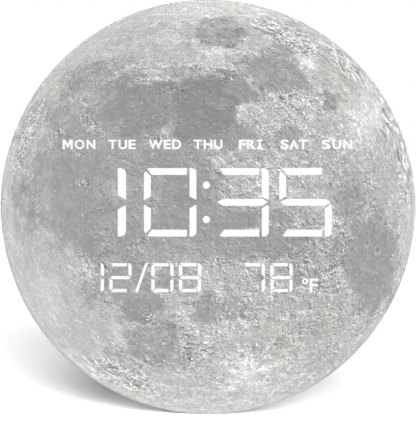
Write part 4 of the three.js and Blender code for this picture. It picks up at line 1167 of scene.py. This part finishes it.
# Distant lamps. Azimuth 0 is in front of the face and 90 is to its right.
KEY = {"azimuth": 14.0, "elevation": 11.0, "strength": 2.75, "angle": 40.0}
HIGH = {"azimuth": -7.0, "elevation": 43.0, "strength": 0.5, "angle": 37.0}
REAR = {"azimuth": 205.0, "elevation": 25.0, "strength": 2.0, "angle": 20.0}


def make_camera():
    pixel = face_radius / DISC_RADIUS_PX
    aim = (DISC_CENTRE_PX[1] - PHOTO_HEIGHT / 2) * pixel
    aside = (PHOTO_WIDTH / 2 - DISC_CENTRE_PX[0]) * pixel
    data = bpy.data.cameras.new("camera")
    data.sensor_width = SENSOR
    data.lens = SENSOR * CAMERA_DISTANCE / (PHOTO_HEIGHT * pixel)
    camera = bpy.data.objects.new("camera", data)
    camera.location = (aside, face_front - CAMERA_DISTANCE, aim)
    camera.rotation_euler = (math.radians(90), 0, 0)
    bpy.context.scene.collection.objects.link(camera)
    bpy.context.scene.camera = camera


def make_sun(name, azimuth, elevation, strength, angle):
    data = bpy.data.lights.new(name, "SUN")
    data.energy = strength
    data.angle = math.radians(angle)
    lamp = bpy.data.objects.new(name, data)
    turn = math.radians(azimuth)
    lift = math.radians(elevation)
    toward = Vector((math.sin(turn) * math.cos(lift), -math.cos(turn) * math.cos(lift), math.sin(lift)))
    lamp.rotation_mode = "QUATERNION"
    lamp.rotation_quaternion = toward.to_track_quat("Z", "Y")
    bpy.context.scene.collection.objects.link(lamp)
    return lamp


def seen_share(graph):
    """1 where the camera sees a surface directly, in a reflection or through glass."""
    path = graph.node("ShaderNodeLightPath", {}).outputs
    both = graph.math("MAXIMUM", path["Is Camera Ray"], path["Is Glossy Ray"])
    return graph.math("MAXIMUM", both, path["Is Transmission Ray"])


def make_world():
    world = bpy.data.worlds.new("world")
    world.use_nodes = True
    graph = Graph(world.node_tree)
    background = graph.nodes["Background"].inputs
    background["Color"].default_value = WHITE
    graph.put(background["Strength"], graph.ramp(seen_share(graph), 0.0, 1.0, WORLD_STRENGTH, 1.0))
    bpy.context.scene.world = world


def make_floor():
    material = bpy.data.materials.new("floor")
    material.use_nodes = True
    graph = Graph(material.node_tree)
    shade = graph.ramp(seen_share(graph), 0.0, 1.0, FLOOR_COLOUR, FLOOR_SEEN)
    diffuse = graph.node("ShaderNodeBsdfDiffuse", {"Color": shade})
    graph.put(graph.nodes["Material Output"].inputs["Surface"], diffuse.outputs[0])
    half = FLOOR_SIZE / 2
    corners = [(-half, -half), (half, -half), (half, half), (-half, half)]
    mesh = bpy.data.meshes.new("floor")
    mesh.from_pydata([(x, y, face_low.z) for x, y in corners], [], [(0, 1, 2, 3)])
    mesh.materials.append(material)
    floor = bpy.data.objects.new("floor", mesh)
    bpy.context.scene.collection.objects.link(floor)
    return floor


def leave_dark(lamp, unlit):
    """Keeps a lamp from lighting one object."""
    others = bpy.data.collections.new(f"{lamp.name}_receivers")
    others.objects.link(unlit)
    others.collection_objects[0].light_linking.link_state = "EXCLUDE"
    lamp.light_linking.receiver_collection = others


make_camera()
make_world()
make_sun("key", **KEY)
make_sun("high", **HIGH)
leave_dark(make_sun("rear", **REAR), make_floor())
bpy.context.scene.view_settings.view_transform = "Standard"
